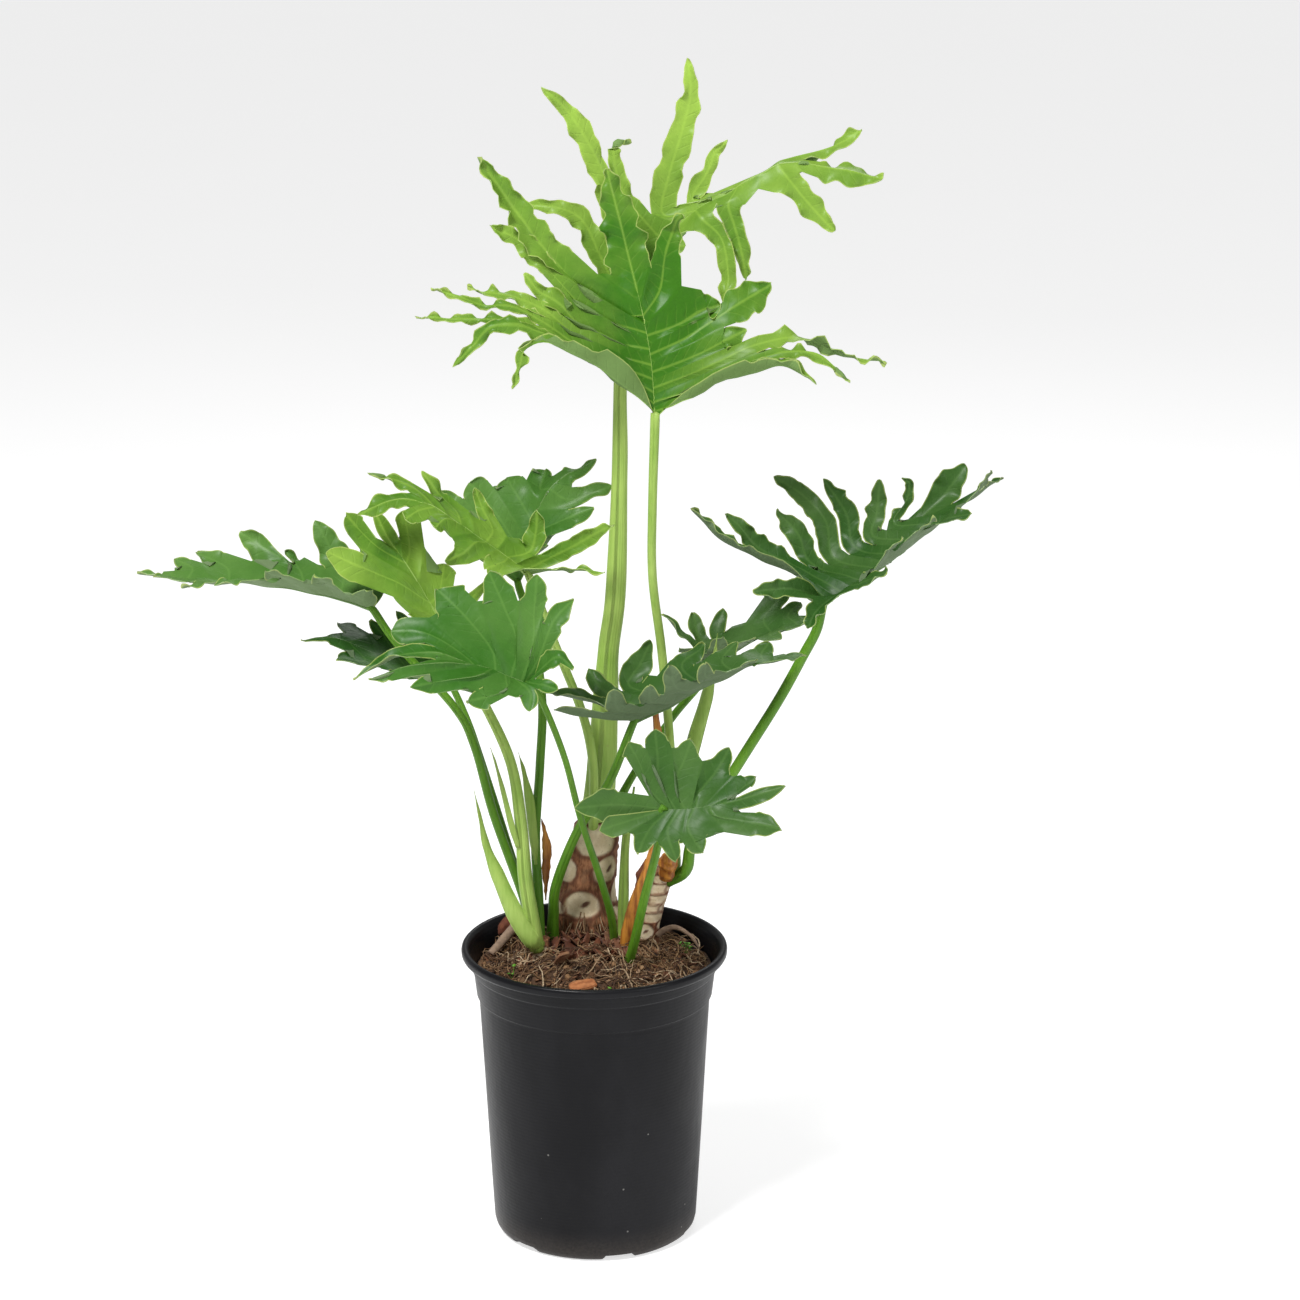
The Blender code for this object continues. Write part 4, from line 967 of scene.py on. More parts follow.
# Leaf, finish, then x y z radius of each point, from inside the trunk upwards, and the last radius.
STALK_TABLE = """
top_front pale  62 28 296 5  67 27 306 5  66 27 332 4.6  65 26 372 4.2  60 24 445 4  55 20 498 4
  48 7 560 3.9  48 -5 622 3.9  4.4

top_back pale  1 46 328 14  2 46 340 14  6 46 386 12.5  9 46 437 11  12 46 488 8.8  18 46 538 8.5
  21.5 45 640 6.5  22 45 705 5.5  4.5

right green  61 27 293 5.5  76 20 306 5.5  83 22 336 5  119 17 399 4.8  151 14 454 4.8
  171 12 493 4.6  181 10 514 4.4  4.2

right_low green  -35 18 238 6  -35 16 247 6  -34 10 270 5  -31 0 300 4.6  -13 -12 350 4.2
  13 -18 394 4  3.6

right_back green  6 54 328 4.5  14 60 340 4.5  32 64 374 3.5  64 62 424 3.5  86 60 452 3.4  3.4

left_far green  -51 -4 250 4.2  -55 -3 275 4.2  -61 -3 299 4.2  -82 -3 362 4  -97 -2 420 3.8
  -113 0 452 3.6  -158 4 503 3.4  3.6

left_low green  -50 0 250 3.6  -54 7 268 3.6  -62 10 299 3.6  -80 14 360 3.5  -96 20 411 3.4
  -104 24 434 3.2  3.2

left_bright pale  -47 -12 248 7  -49 -15 262 7  -56 -19 312 6.5  -59 -20 360 5.5  -67 -18 411 4.6
  -88 -12 458 4.2  -104 -6 482 4  3.8

left_high pale  -1 34 336 4.4  -1 27 352 4.4  -1 27 396 4.2  -10 25 441 4  -32 18 502 3.8  3.8

left_back green  -44 -3 250 4.4  -45 0 262 4.4  -46 2 290 4.4  -48 4 340 4.2  -44 8 400 4
  -42 14 454 3.9  -50 36 505 3.8  3.6

left_front green  18 12 236 4  17 8 243 4  14 -8 275 3.6  6 -25 312 3.2  -10 -45 372 2.9
  -22 -60 427 2.8  -38 -70 474 2.8  3

front_small green  27 -20 233 4.6  28 -25 239 4.6  33 -38 262 4.2  41 -55 305 4  52 -76 358 3.6
  3.2
"""


def run_of(route):
    """Centres and radii at even steps along a route."""
    path = Route(vectors(route))
    sizes = [p[3] for p in route]
    count = max(6, round(path.length / STALK_STEP))
    centres = [path.at(i / count) for i in range(count + 1)]
    return centres, [blended(sizes, path.shares, i / count) for i in range(count + 1)]


def grooved(depth, flat):
    """A section that is flattened a little and has a shallow groove on one side."""

    def section(turn, share):
        groove = depth * math.exp(-((turn - math.pi) / 0.45) ** 2)
        return 1 - flat * math.sin(turn) ** 2 - groove

    return section


def clasping(turn, share):
    """The thick stalk of the youngest leaf, with the wings of its sheath as two long ridges."""
    low = 1 - smooth(share * 1.25)
    ridges = math.exp(-((turn - 0.9) / 0.16) ** 2) + math.exp(-((turn - 5.2) / 0.2) ** 2)
    dips = math.exp(-((turn - 0.45) / 0.2) ** 2) + 0.6 * math.exp(-((turn - 5.75) / 0.25) ** 2)
    return 1 + (0.13 * ridges - 0.1 * dips) * (0.35 + 0.65 * low)


SPINES = {leaf["name"]: leaf["spine"] for leaf in LEAVES}
for entry in STALK_TABLE.strip().split("\n\n"):
    name, finish_name, *words = entry.split()
    *route, [end] = groups(words, 4)
    base, ahead = SPINES[name][0], (SPINES[name][1] - SPINES[name][0]).normalized()
    centres, radii = run_of([*route, (*base, end * 0.95), (*(base + ahead * 5), end * 0.45)])
    stalk = Surface("along", "around")
    section = clasping if name == "top_back" else grooved(0.1, 0.08)
    stalk.tube(centres, radii, STALK_SIDES, section=section)
    finish = STALK_FINISHES[finish_name]
    piece = stalk.build(name + "_stalk", [finish], finish_name + "_stalk", "stalk_" + name)
    print(piece.name, round(sum((b - a).length for a, b in zip(centres, centres[1:]))), "mm long")

# %% [markdown]
# ## Sheaths
# A young leaf is wrapped in a sheath, which stays on as a strap when the leaf has grown out of
# it: a green one keeps its channel shape and ends in a point, and an old one dries to
# orange-brown paper. A strap is a ribbon whose section is an arc, with thin edges, so it is
# lofted row by row.

# %% Sheath finishes and straps
DRY_SHEATH = Finish("dry_sheath")
dry_streaks = DRY_SHEATH.cloud(260, 4, stretch=(1, 1, 0.1))
dry_patches = DRY_SHEATH.cloud(45, 3)
dry_base = DRY_SHEATH.blend(dry_streaks.ramped(0.3, 0.7), srgb(132, 70, 22), srgb(206, 138, 52))
dry_dark = dry_patches.ramped(0.5, 0.68) * 0.6
DRY_SHEATH.colour(DRY_SHEATH.blend(dry_dark, dry_base, srgb(104, 50, 24)))
DRY_SHEATH.gloss(dry_patches * 0.3 + 0.4)
DRY_SHEATH.relief((dry_streaks, 0.0008))

# Name, finish, outward direction, wrap in radians, ragged edge, then x y z half width of points.
STRAP_TABLE = """
sheath_left pale_stalk  0.1 -1 0  1.2 0  -42 -16 250 7  -50 -27 258 9.5  -63 -27 280 10
  -77 -23 312 8  -87 -19 338 4.6  -92 -17 362 2.4  -97 -16 386 0.4

sheath_middle pale_stalk  -0.6 -1 0  0.9 0  -62 -26 340 3  -67 -27 358 4  -73 -26 385 3.2
  -79 -23 410 1.6  -83 -22 424 0.3

sheath_right pale_stalk  -0.3 -1 0  1 0  -48 -4 318 2  -50 -6 340 5  -53 -6 372 5.5
  -57 -6 398 2.6  -61 -6 415 0.3

sheath_spear pale_stalk  -0.5 -1 0  1.3 0  69 40 322 5  73 42 372 8  80 41 408 9.5  90 37 445 8
  97 32 478 4  101 29 506 0.4

dry_sheath dry_sheath  -0.4 -1 0  1.2 0.9  22 -4 238 5  26 -9 262 7  32 -12 286 7  43 -14 318 5.5
  52 -9 352 5  53 -2 392 5  52 2 420 6  50 4 442 4  49 6 456 0.5

dry_edge dry_sheath  0.4 -1 0  0.8 1  -40 5 284 1  -39 6 312 4.5  -38 6 328 5  -41 7 346 2
  -43 8 354 0.4
"""


def strap(name, finish, slot_name, route, outward, wrap, ragged, depth=0.7, columns=10):
    path, widths = Route(vectors(route)), [p[3] for p in route]
    rows = max(8, round(path.length / 2.5))
    sheet = Surface("along", "around")
    layers = []
    for layer in (0.0, depth):
        grid = []
        for r in range(rows + 1):
            share = r / rows
            width = blended(widths, path.shares, share)
            ahead = path.along(share)
            out = Vector(outward)
            out = (out - ahead * out.dot(ahead)).normalized()
            side = ahead.cross(out)
            line = []
            for c in range(columns + 1):
                t = 2 * c / columns - 1
                tear = ragged * abs(t) ** 6 * wobble(share * path.length / 5, t * 3, len(name))
                radius = width / wrap
                thin = depth * 0.5 * abs(t) ** 4
                turn = t * wrap
                reach = radius - (layer - thin if layer else thin)
                spot = path.at(share) + side * (reach * math.sin(turn) + tear * t)
                spot += out * (reach * math.cos(turn) - radius)
                line.append(sheet.add(spot, along=share * path.length, around=c / columns))
            grid.append(line)
        layers.append(grid)
    top, low = layers
    for r in range(rows):
        for c in range(columns):
            sheet.face([top[r][c], top[r + 1][c], top[r + 1][c + 1], top[r][c + 1]], flip=True)
            sheet.face([low[r][c], low[r][c + 1], low[r + 1][c + 1], low[r + 1][c]], flip=True)
        for c in (0, columns):
            sheet.face([top[r][c], low[r][c], low[r + 1][c], top[r + 1][c]], flip=c == 0)
    for r in (0, rows):
        for c in range(columns):
            sheet.face([top[r][c], top[r][c + 1], low[r][c + 1], low[r][c]], flip=r == 0)
    return sheet.build(name + "_strap", [finish], slot_name, name)


straps = STRAP_TABLE.strip().split("\n\n")
for entry in straps:
    name, slot_name, *words = entry.split()
    finish = DRY_SHEATH if slot_name == "dry_sheath" else PALE_STALK
    outward, [wrap, ragged] = words[:3], map(float, words[3:5])
    strap(name, finish, slot_name, groups(words[5:], 4), groups(outward, 3)[0], wrap, ragged)
print(len(straps), "straps")

# %% [markdown]
# ## Trunks
# The trunk is short.  Wherever an old leaf fell it shows a cream oval scar with a brown rim and a
# dark eye, and between the scars it is covered in red-brown fibres.  The scars are listed one by
# one, and each is worked into the surface as well as into its colour, because a rim casts a
# small shadow.

# %% Bark finish
BARK = Finish("bark")
bark_scar, bark_rim, bark_eye = BARK.grown("scar"), BARK.grown("rim"), BARK.grown("eye")
fibres = BARK.cloud(330, 4, 0.65, stretch=(1, 1, 0.25))
bark_patches = BARK.cloud(70, 3)
red_bark = BARK.blend(fibres.ramped(0.35, 0.65), srgb(104, 60, 34), srgb(176, 120, 84))
red_bark = BARK.blend(bark_patches.ramped(0.5, 0.7) * 0.5, red_bark, srgb(120, 96, 72))
cream = BARK.blend(BARK.cloud(120, 4).ramped(0.35, 0.7), srgb(206, 186, 150), srgb(230, 214, 184))
cream = BARK.blend(BARK.cloud(700, 2).ramped(0.62, 0.72) * 0.5, cream, srgb(150, 120, 88))
bark_colour = BARK.blend(bark_scar, red_bark, cream)
bark_colour = BARK.blend(bark_rim * 0.8, bark_colour, srgb(98, 54, 36))
BARK.colour(BARK.blend(bark_eye, bark_colour, srgb(92, 58, 38)))
BARK.gloss(bark_scar * -0.15 + fibres * 0.1 + 0.8)
BARK.relief((fibres * (1 - bark_scar * 0.8), 0.0015), (bark_patches, 0.001))
print("bark finish carries scars, rims and eyes")

# %% Trunks
# A scar is (x offset side, height, half width, half height, eye): the side is an angle in degrees,
# where 0 faces the front and positive turns to the right.
TRUNKS = [
    ("main_trunk", [
        (-7, 50, 224, 31), (-7, 50, 240, 30.5), (-7, 49, 256, 28.5), (-8, 48, 272, 25.5),
        (-6, 47, 292, 23.5), (-2, 46, 315, 21), (1, 46, 334, 18.5), (1, 46, 342, 13)],
     [(-8, 274, 17, 12, 1), (-58, 301, 13, 11, 0), (40, 303, 13, 12, 1), (2, 328, 19, 13.5, 0),
      (85, 280, 14, 11, 1), (-105, 280, 14, 11, 0), (150, 300, 15, 11, 1), (-160, 266, 15, 11, 1),
      (115, 326, 14, 10, 0), (-120, 326, 14, 10, 0), (64, 262, 11, 6, 0), (-60, 268, 10, 6, 0)],
     0.9),
    ("right_trunk", [
        (42, 30, 230, 11.5), (43, 30, 244, 10.5), (45, 30, 256, 9.4), (50, 30, 275, 9),
        (57, 30, 300, 9.6), (58, 30, 304, 8)],
     [(-22, 251, 10, 7, 1), (14, 263, 13, 4.6, 0), (-14, 271, 12, 4.4, 0), (8, 279, 13, 4.8, 0),
      (-6, 288, 12, 5, 0), (14, 297, 12, 4.5, 0), (110, 256, 11, 6, 0), (100, 272, 11, 6, 0),
      (110, 290, 11, 7, 0), (-105, 262, 11, 6, 1), (-110, 280, 11, 6, 0), (180, 280, 10, 7, 0)],
     0.4),
    ("offshoot", [
        (-47, -8, 230, 9.2), (-46, -8, 240, 8.4), (-45, -8, 248, 7.6), (-44, -8, 256, 7)],
     [(-30, 238, 9, 2.6, 0), (20, 243, 9, 2.6, 0), (-10, 249, 9, 2.4, 0), (150, 243, 9, 3, 0)],
     0.4),
]
TRUNK_SIDES = 96


def trunk(name, route, scars, roughness):
    path, sizes = Route(vectors(route)), [p[3] for p in route]
    rows = round(path.length / 1.3)
    skin = Surface("scar", "rim", "eye")
    grid = []
    for r in range(rows + 1):
        share = r / rows
        centre, radius = path.at(share), blended(sizes, path.shares, share)
        line = []
        for k in range(TRUNK_SIDES):
            turn = 2 * math.pi * k / TRUNK_SIDES
            outward = Vector((math.sin(turn), -math.cos(turn), 0))
            scar = rim = eye = 0.0
            for side, height, wide, tall, has_eye in scars:
                away = (turn - math.radians(side) + math.pi) % (2 * math.pi) - math.pi
                u, v = away * radius / wide, (centre.z - height) / tall
                u, v = u, v + 0.25 * u * u
                far = math.sqrt(u * u + v * v) + 0.08 * wobble(u * 2, v * 2, height)
                scar = max(scar, 1 - smooth((far - 0.82) / 0.22))
                rim = max(rim, math.exp(-(((far - 1.06) / 0.13) ** 2)))
                if has_eye:
                    off_eye = math.hypot((u - 0.22) * 4 - v * 2, v * 2.6)
                    eye = max(eye, 1 - smooth((off_eye - 0.5) / 0.4))
            grain = wobble(turn * radius / 2.2, centre.z / 7, radius) * roughness
            lumps = wobble(math.sin(turn) * 2, math.cos(turn) * 2, centre.z / 14) * roughness * 1.8
            bump = (grain + lumps) * (1 - 0.8 * scar)
            bump += rim * roughness * 0.7 - eye * roughness * 0.6
            spot = centre + outward * (radius + bump)
            line.append(skin.add(
                spot, scar=scar * (1 - rim * 0.6), rim=rim * (1 - 0.5 * scar), eye=eye * scar))
        grid.append(line)
    skin.bands(grid)
    skin.fan(skin.add(path.at(0)), grid[0], flip=True)
    skin.fan(skin.add(path.at(1) + Vector((0, 0, 1.5))), grid[-1])
    return skin.build(name + "_bark", [BARK], "bark", name)


for row in TRUNKS:
    made = trunk(*row)
    print(made.name, len(made.data.polygons), "faces,", len(row[2]), "scars")

# %% [markdown]
# ## Potting mix
# The mix is peat with shredded bark and fine roots.  One rough surface carries the shape of the
# heap, and on it lie about three thousand separate crumbs, flakes and rootlets, because their small
# shadows are what makes real soil look like soil.  Each kind is one piece, so the model stays
# easy to handle.

# %% Mix finishes


def litter_finish(name, *colours, rough=0.85, scale=260):
    """Crumbs or fibres: each one has its own tone, which its mesh carries."""
    finish, colours = Finish(name), [srgb(*colour) for colour in colours]
    tone, grain = finish.grown("tone"), finish.cloud(scale, 4, 0.65)
    stops = [(i / (len(colours) - 1), colour) for i, colour in enumerate(colours)]
    base = finish.node("ShaderNodeValToRGB", {"stops": stops}, {"Fac": tone})
    finish.colour(finish.blend(grain.ramped(0.35, 0.75) * 0.5, base, shade(colours[0], 0.45)))
    finish.gloss(grain * 0.2 + rough - 0.1)
    finish.relief((grain, 0.0008))
    return finish


PEAT = litter_finish("peat", (48, 31, 20), (84, 58, 37), (116, 86, 58), scale=340)
CRUMB = litter_finish("crumbs", (42, 26, 16), (88, 58, 34), (130, 92, 58), (158, 124, 88))
FLAKE = litter_finish("bark_flakes", (74, 40, 26), (122, 76, 48), (150, 112, 82), (176, 148, 118))
HUSK = litter_finish("papery_husks", (70, 34, 20), (112, 62, 38), (140, 96, 72), rough=0.6)
ROOT = litter_finish("rootlets", (66, 42, 26), (112, 80, 52), (150, 116, 80), (202, 178, 146),
    scale=500)
WEED = litter_finish("seedlings", (70, 130, 34), (120, 180, 60), rough=0.5)

# %% The heap
MOUND = [(0, 245), (38, 243), (62, 236), (97, 228)]
MIX_EDGE = 97.4
POT_FLOOR = 3.4


def mix_level(radius):
    for (r0, z0), (r1, z1) in zip(MOUND, MOUND[1:]):
        if radius <= r1:
            return z0 + (z1 - z0) * (radius - r0) / (r1 - r0)
    return MOUND[-1][1]


def heap_height(x, y):
    rough = wobble(x / 14, y / 14, 1) * 5.0 + wobble(x / 5, y / 5, 2) * 3.2
    edge = smooth((MIX_EDGE - math.hypot(x, y)) / 8)
    return mix_level(math.hypot(x, y)) + rough * (0.25 + 0.75 * edge)


def polar(radius, turn):
    return radius * math.cos(turn), radius * math.sin(turn)


HEAP_RINGS, HEAP_SIDES = 56, 168
heap = Surface("tone")
heap_turns = [2 * math.pi * k / HEAP_SIDES for k in range(HEAP_SIDES)]
rings = []
for i in range(1, HEAP_RINGS + 1):
    spots = [polar(MIX_EDGE * i / HEAP_RINGS, turn) for turn in heap_turns]
    rings.append([
        heap.add((x, y, heap_height(x, y)), tone=0.5 + wobble(x / 9, y / 9, 5))
        for x, y in spots
    ])
for radius, z in ((90, 202), (82.5, 12), (77, POT_FLOOR)):
    rings.append([heap.add((*polar(radius, turn), z)) for turn in heap_turns])
summit, bottom = heap.add((0, 0, heap_height(0, 0)), tone=0.5), heap.add((0, 0, POT_FLOOR))
heap.bands(rings, turned=True)
heap.fan(summit, rings[0])
heap.fan(bottom, rings[-1], flip=True)
heap.build("peat_heap", [PEAT], "potting_mix", "potting_mix")
print("the heap is", round(max(p.z for p in heap.points)), "mm high at its top")

# %% Crumbs, flakes and rootlets
CRUMB_COUNT, FLAKE_COUNT, HUSK_COUNT = 2300, 230, 70
ROOTLET_COUNT, TRUNK_HAIR_COUNT = 560, 190
TRUNK_X, TRUNK_Y = -7, 49
KEEP_OFF = [(TRUNK_X, TRUNK_Y, 27), (44, 30, 9), (-46, -8, 7)]
litter_dice = random.Random(11)
roll, chance = litter_dice.uniform, litter_dice.random


def open_spot(edge=MIX_EDGE - 3):
    """A random place on the heap that no trunk covers."""
    while True:
        x, y = polar(edge * math.sqrt(chance()), roll(0, 2 * math.pi))
        if all(math.hypot(x - a, y - b) > r for a, b, r in KEEP_OFF):
            return x, y


def tumbled(x, y, z):
    return Matrix.Rotation(x, 3, "X") @ Matrix.Rotation(y, 3, "Y") @ Matrix.Rotation(z, 3, "Z")


def nugget(surface, place, size, turns, tone, jitter=0.25):
    """A rough lump: a small ball of twelve corners, squeezed, turned and dented."""
    form = bmesh.new()
    bmesh.ops.create_icosphere(form, subdivisions=1, radius=0.5)
    spin = tumbled(*turns)
    start = len(surface.points)
    form.verts.ensure_lookup_table()
    for vertex in form.verts:
        dent = 1 + roll(-jitter, jitter)
        local = Vector([vertex.co[k] * size[k] * dent for k in range(3)])
        surface.add(Vector(place) + spin @ local, tone=tone)
    for ring in form.faces:
        surface.face([start + v.index for v in ring.verts])
    form.free()


crumbs = Surface("tone")
for _ in range(CRUMB_COUNT):
    x, y = open_spot()
    big = chance() ** 3
    size = [1.4 + 4.2 * big * roll(0.6, 1.3) for _ in range(3)]
    turns = [roll(0, 6.28) for _ in range(3)]
    nugget(crumbs, (x, y, heap_height(x, y) + 0.2 * size[2]), size, turns, chance())
crumbs.build("mix_crumbs", [CRUMB], "potting_mix", sharp=True)

flakes = Surface("tone")
for _ in range(FLAKE_COUNT):
    x, y = open_spot(MIX_EDGE - 7)
    long = roll(5, 15)
    size = (long, long * roll(0.25, 0.6), roll(0.9, 2.2))
    turns = [roll(-0.5, 0.5), roll(-0.5, 0.5), roll(0, 6.28)]
    nugget(flakes, (x, y, heap_height(x, y) + 1.0), size, turns, chance(), 0.15)
flakes.build("bark_flakes", [FLAKE], "bark", sharp=True)

husks = Surface("tone")
for _ in range(HUSK_COUNT):
    turn = roll(3.3, 6.1)
    reach = roll(6, 44)
    x, y = -7 + reach * math.cos(turn), 26 + 1.5 * reach * math.sin(turn)
    long = roll(12, 30)
    size = (long, long * roll(0.2, 0.45), roll(0.7, 1.3))
    turns = [roll(-1.3, 1.3), roll(-0.9, 0.9), roll(0, 6.28)]
    nugget(husks, (x, y, heap_height(x, y) + 4.0), size, turns, chance(), 0.15)
husks.build("papery_husks", [HUSK], "bark", sharp=True)

rootlets = Surface("tone")


def rootlet(x, y, length, radius, lift, tone, heading=None):
    """A fine root that wanders over the heap."""
    heading = roll(0, 6.28) if heading is None else heading
    steps, bend = 11, roll(-0.35, 0.35)
    points = []
    for i in range(steps):
        arc = lift * math.sin(math.pi * i / (steps - 1))
        z = heap_height(x, y) + radius + arc + roll(-0.3, 0.5)
        if math.hypot(x, y) > MIX_EDGE - 2:
            break
        points.append(Vector((x, y, z)))
        x, y = x + length / steps * math.cos(heading), y + length / steps * math.sin(heading)
        heading += bend + roll(-0.4, 0.4)
    if len(points) > 4:
        radii = [radius * (1 - 0.7 * i / (len(points) - 1)) for i in range(len(points))]
        rootlets.tube(points, radii, 5, tone=tone)


for _ in range(ROOTLET_COUNT):
    rootlet(*open_spot(), roll(14, 64), roll(0.25, 0.9),
            roll(0, 9), chance())
for _ in range(TRUNK_HAIR_COUNT):
    turn = roll(0, 6.28)
    reach = 28 + roll(-2, 2)
    rise = roll(2, 22)
    x, y = polar(reach - rise * 0.12, turn)
    top = Vector((TRUNK_X + x, TRUNK_Y + y, 246 + rise))
    x = (reach + 5) * math.cos(turn + roll(-0.3, 0.3))
    y = (reach + 5) * math.sin(turn + roll(-0.3, 0.3))
    low = Vector((TRUNK_X + x, TRUNK_Y + y, 241))
    if math.hypot(low.x, low.y) > MIX_EDGE - 2:
        continue
    bow = Vector((roll(-3, 3), roll(-4, 0), roll(-3, 3)))
    hair = Route([top, top.lerp(low, 0.5) + bow, low])
    points = [hair.at(i / 7) for i in range(8)]
    rootlets.tube(points, [0.45 - 0.03 * i for i in range(8)], 5, tone=chance())
rootlets.build("rootlets", [ROOT], "potting_mix")

seedlings = Surface("tone")
for place_x, place_y, count in ((76, 18, 9), (14, -86, 5), (43, -80, 6), (-66, -40, 3)):
    for _ in range(count):
        x, y = place_x + roll(-5, 5), place_y + roll(-5, 5)
        z = heap_height(x, y) + roll(6, 11)
        foot = Vector((place_x, place_y, heap_height(place_x, place_y)))
        stem = [foot.lerp(Vector((x, y, z)), i / 4) for i in range(5)]
        seedlings.tube(stem, [0.3] * 5, 5, tone=0.3)
        tilt = [roll(-0.6, 0.6), roll(-0.6, 0.6), roll(0, 6)]
        nugget(seedlings, (x, y, z), (4.4, 3.2, 0.8), tilt, chance(), 0.08)
seedlings.build("seedlings", [WEED], "green_stalk")
print(len(crumbs.faces) + len(flakes.faces) + len(rootlets.faces), "faces of litter")

# %% [markdown]
# ## Large chips and the stick
# A few larger pieces of bark and a bare stick lie on the mix, and a stout root arches out of it.
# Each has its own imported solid, and is replaced by a rougher, split form in the same place.

# %% Chips, stick, root and stubs
WOOD = litter_finish("bare_wood", (112, 88, 72), (150, 124, 104), (176, 150, 128), scale=200)
RED_CHIP = litter_finish("red_chip", (84, 40, 26), (120, 66, 44), (150, 92, 62), scale=220)
ORANGE_CHIP = litter_finish("orange_chip", (140, 76, 40), (180, 112, 66), (196, 140, 96), scale=220)


def split_chip(name, node, finish, slot_name, place, size, turns, seed):
    """A chip of bark: a ball cut flat by its grain, with ragged ends."""
    form = bmesh.new()
    bmesh.ops.create_icosphere(form, subdivisions=4, radius=0.5)
    chip = Surface("tone")
    spin = tumbled(*map(math.radians, turns))
    for vertex in form.verts:
        where = vertex.co.copy()
        for k in range(3):
            where[k] = math.copysign(abs(2 * where[k]) ** 0.55, where[k]) / 2
        ridge = wobble(where.x * 2, where.y * 9, where.z * 9 + seed) * 0.16
        tear = wobble(where.x * 1.5, where.y * 6, seed * 3) * 0.2 * abs(where.x * 2) ** 2
        where = Vector((where.x * (1 + tear), where.y * (1 + ridge), where.z * (1 + ridge)))
        where = Vector([where[k] * size[k] for k in range(3)])
        chip.add(Vector(place) + spin @ where, tone=0.5 + ridge * 2.5)
    for ring in form.faces:
        chip.face([v.index for v in ring.verts])
    form.free()
    return chip.build(name, [finish], slot_name, node)


def knobbly(name, node, finish, slot_name, route, sides=16, lump=0.12):
    """A stick or root: a tube with knots and a rough skin."""
    path, sizes = Route(vectors(route)), [p[3] for p in route]
    count = max(10, round(path.length / 1.2))
    stick = Surface("tone")
    centres = [path.at(i / count) for i in range(count + 1)]
    radii = [blended(sizes, path.shares, i / count) for i in range(count + 1)]

    def section(turn, share):
        rough = wobble(math.cos(turn) * 1.5, math.sin(turn) * 1.5, share * path.length / 6)
        return 1 + lump * rough + lump * 0.6 * math.sin(share * path.length / 3.4) ** 6

    stick.tube(centres, radii, sides, section=section, tone=0.6)
    return stick.build(name, [finish], slot_name, node)


# Piece, node, finish, slot, place, size, tilt in degrees, seed of its unevenness.
CHIPS = [
    ("red_bark_chunk", "bark_chunk", RED_CHIP, "bark",
     (-68, 47, 247), (22, 13, 27), (20, 35, 15), 4),
    ("orange_bark_chip", "bark_chip", ORANGE_CHIP, "bark",
     (-8, -76, 240), (22, 12, 5), (14, -5, 12), 7),
    ("dry_leaf_flake", "dry_leaf_chip", FLAKE, "wood",
     (-26, -40, 250), (12, 4, 15), (35, 20, 30), 9),
]
for chip_row in CHIPS:
    split_chip(*chip_row)
knobbly("bare_stick", "wood_stick", WOOD, "wood", [
    (-86, 8, 236, 3.2), (-78, 15, 243, 3.8), (-72, 20, 249, 4), (-60, 30, 260, 4.2),
    (-57, 33, 263, 3.2)], lump=0.1)
knobbly("arching_root", "root_right", WOOD, "bark", [
    (52, 22, 247, 2.4), (58, 22, 252, 2.4), (68, 22, 254, 2.0), (80, 18, 248, 1.5),
    (87, 13, 239, 0.8)], sides=10)
knobbly("bark_splinter", "bark_twig", RED_CHIP, "bark", [
    (34, 15, 288, 1.2), (36, 15, 296, 1.8), (38, 14, 304, 3), (43, 13, 317, 1.2)],
    sides=10, lump=0.3)
knobbly("cut_stub", "cut_stalk_end", DRY_SHEATH, "dry_sheath", [
    (59, 21, 298, 5.5), (60, 18, 305, 6.8), (61, 15, 313, 7.6), (62.5, 12, 319, 7),
    (63, 12, 321, 5)], lump=0.16)
shoot = Surface("along", "around")
shoot_centres, shoot_radii = run_of([
    (22, 21, 238, 5), (23, 22, 250, 5.4), (24, 22, 280, 6), (26, 24, 330, 4.6), (33, 28, 375, 1.2)])
shoot.tube(shoot_centres, shoot_radii, STALK_SIDES, section=grooved(0.2, 0.25))
shoot.build("green_shoot", [PALE_STALK], "pale_stalk", "young_shoot")
print("chips, stick, root, stub and shoot are in place")

# %% [markdown]
# ## The pot
# The pot is blow-moulded black plastic: a rolled lip, two shallow steps under it, a gently
# tapered wall and a rounded foot with drain notches.  It is turned from a profile, and inside a
# notch the rings of points near the foot are lifted, which leaves a clean opening without any
# cutting tool.

# %% Pot finish
POT = Finish("pot_plastic")
POT.shader.inputs["Specular IOR Level"].default_value = 0.16
dust = POT.cloud(7, 5, 0.6, stretch=(1, 1, 0.7))
wiped = POT.cloud(16, 3, 0.5, stretch=(1, 1, 0.35))
fine_dust = POT.cloud(420, 3, 0.7)
band = POT.node("ShaderNodeSeparateXYZ", None, {"Vector": POT.place()}, output=2)
# From 190 mm up, over the lip and its steps, the black is painted a little lighter: a painted
# highlight on the rim.
high = band.ramped(0.19, 0.25)
smudge = (dust.ramped(0.42, 0.72) * 0.7 + wiped.ramped(0.45, 0.75) * 0.5) * (fine_dust * 0.7 + 0.5)
# Dust and smudges lighten the black as real dirt, and the lip band adds the painted rim highlight.
pot_colour = POT.blend(smudge * 0.4 + high * 0.06, srgb(13, 13, 16), srgb(52, 52, 55))
specks = POT.node("ShaderNodeTexVoronoi", {"feature": "F1"}, {"Vector": POT.place(), "Scale": 42})
dots = 1 - specks.ramped(0.02, 0.045)
grime = (1 - band.ramped(0.002, 0.03)) * fine_dust
pot_colour = POT.blend(grime * 0.5, pot_colour, srgb(92, 84, 76))
POT.colour(POT.blend(dots * 0.5, pot_colour, srgb(150, 148, 144)))
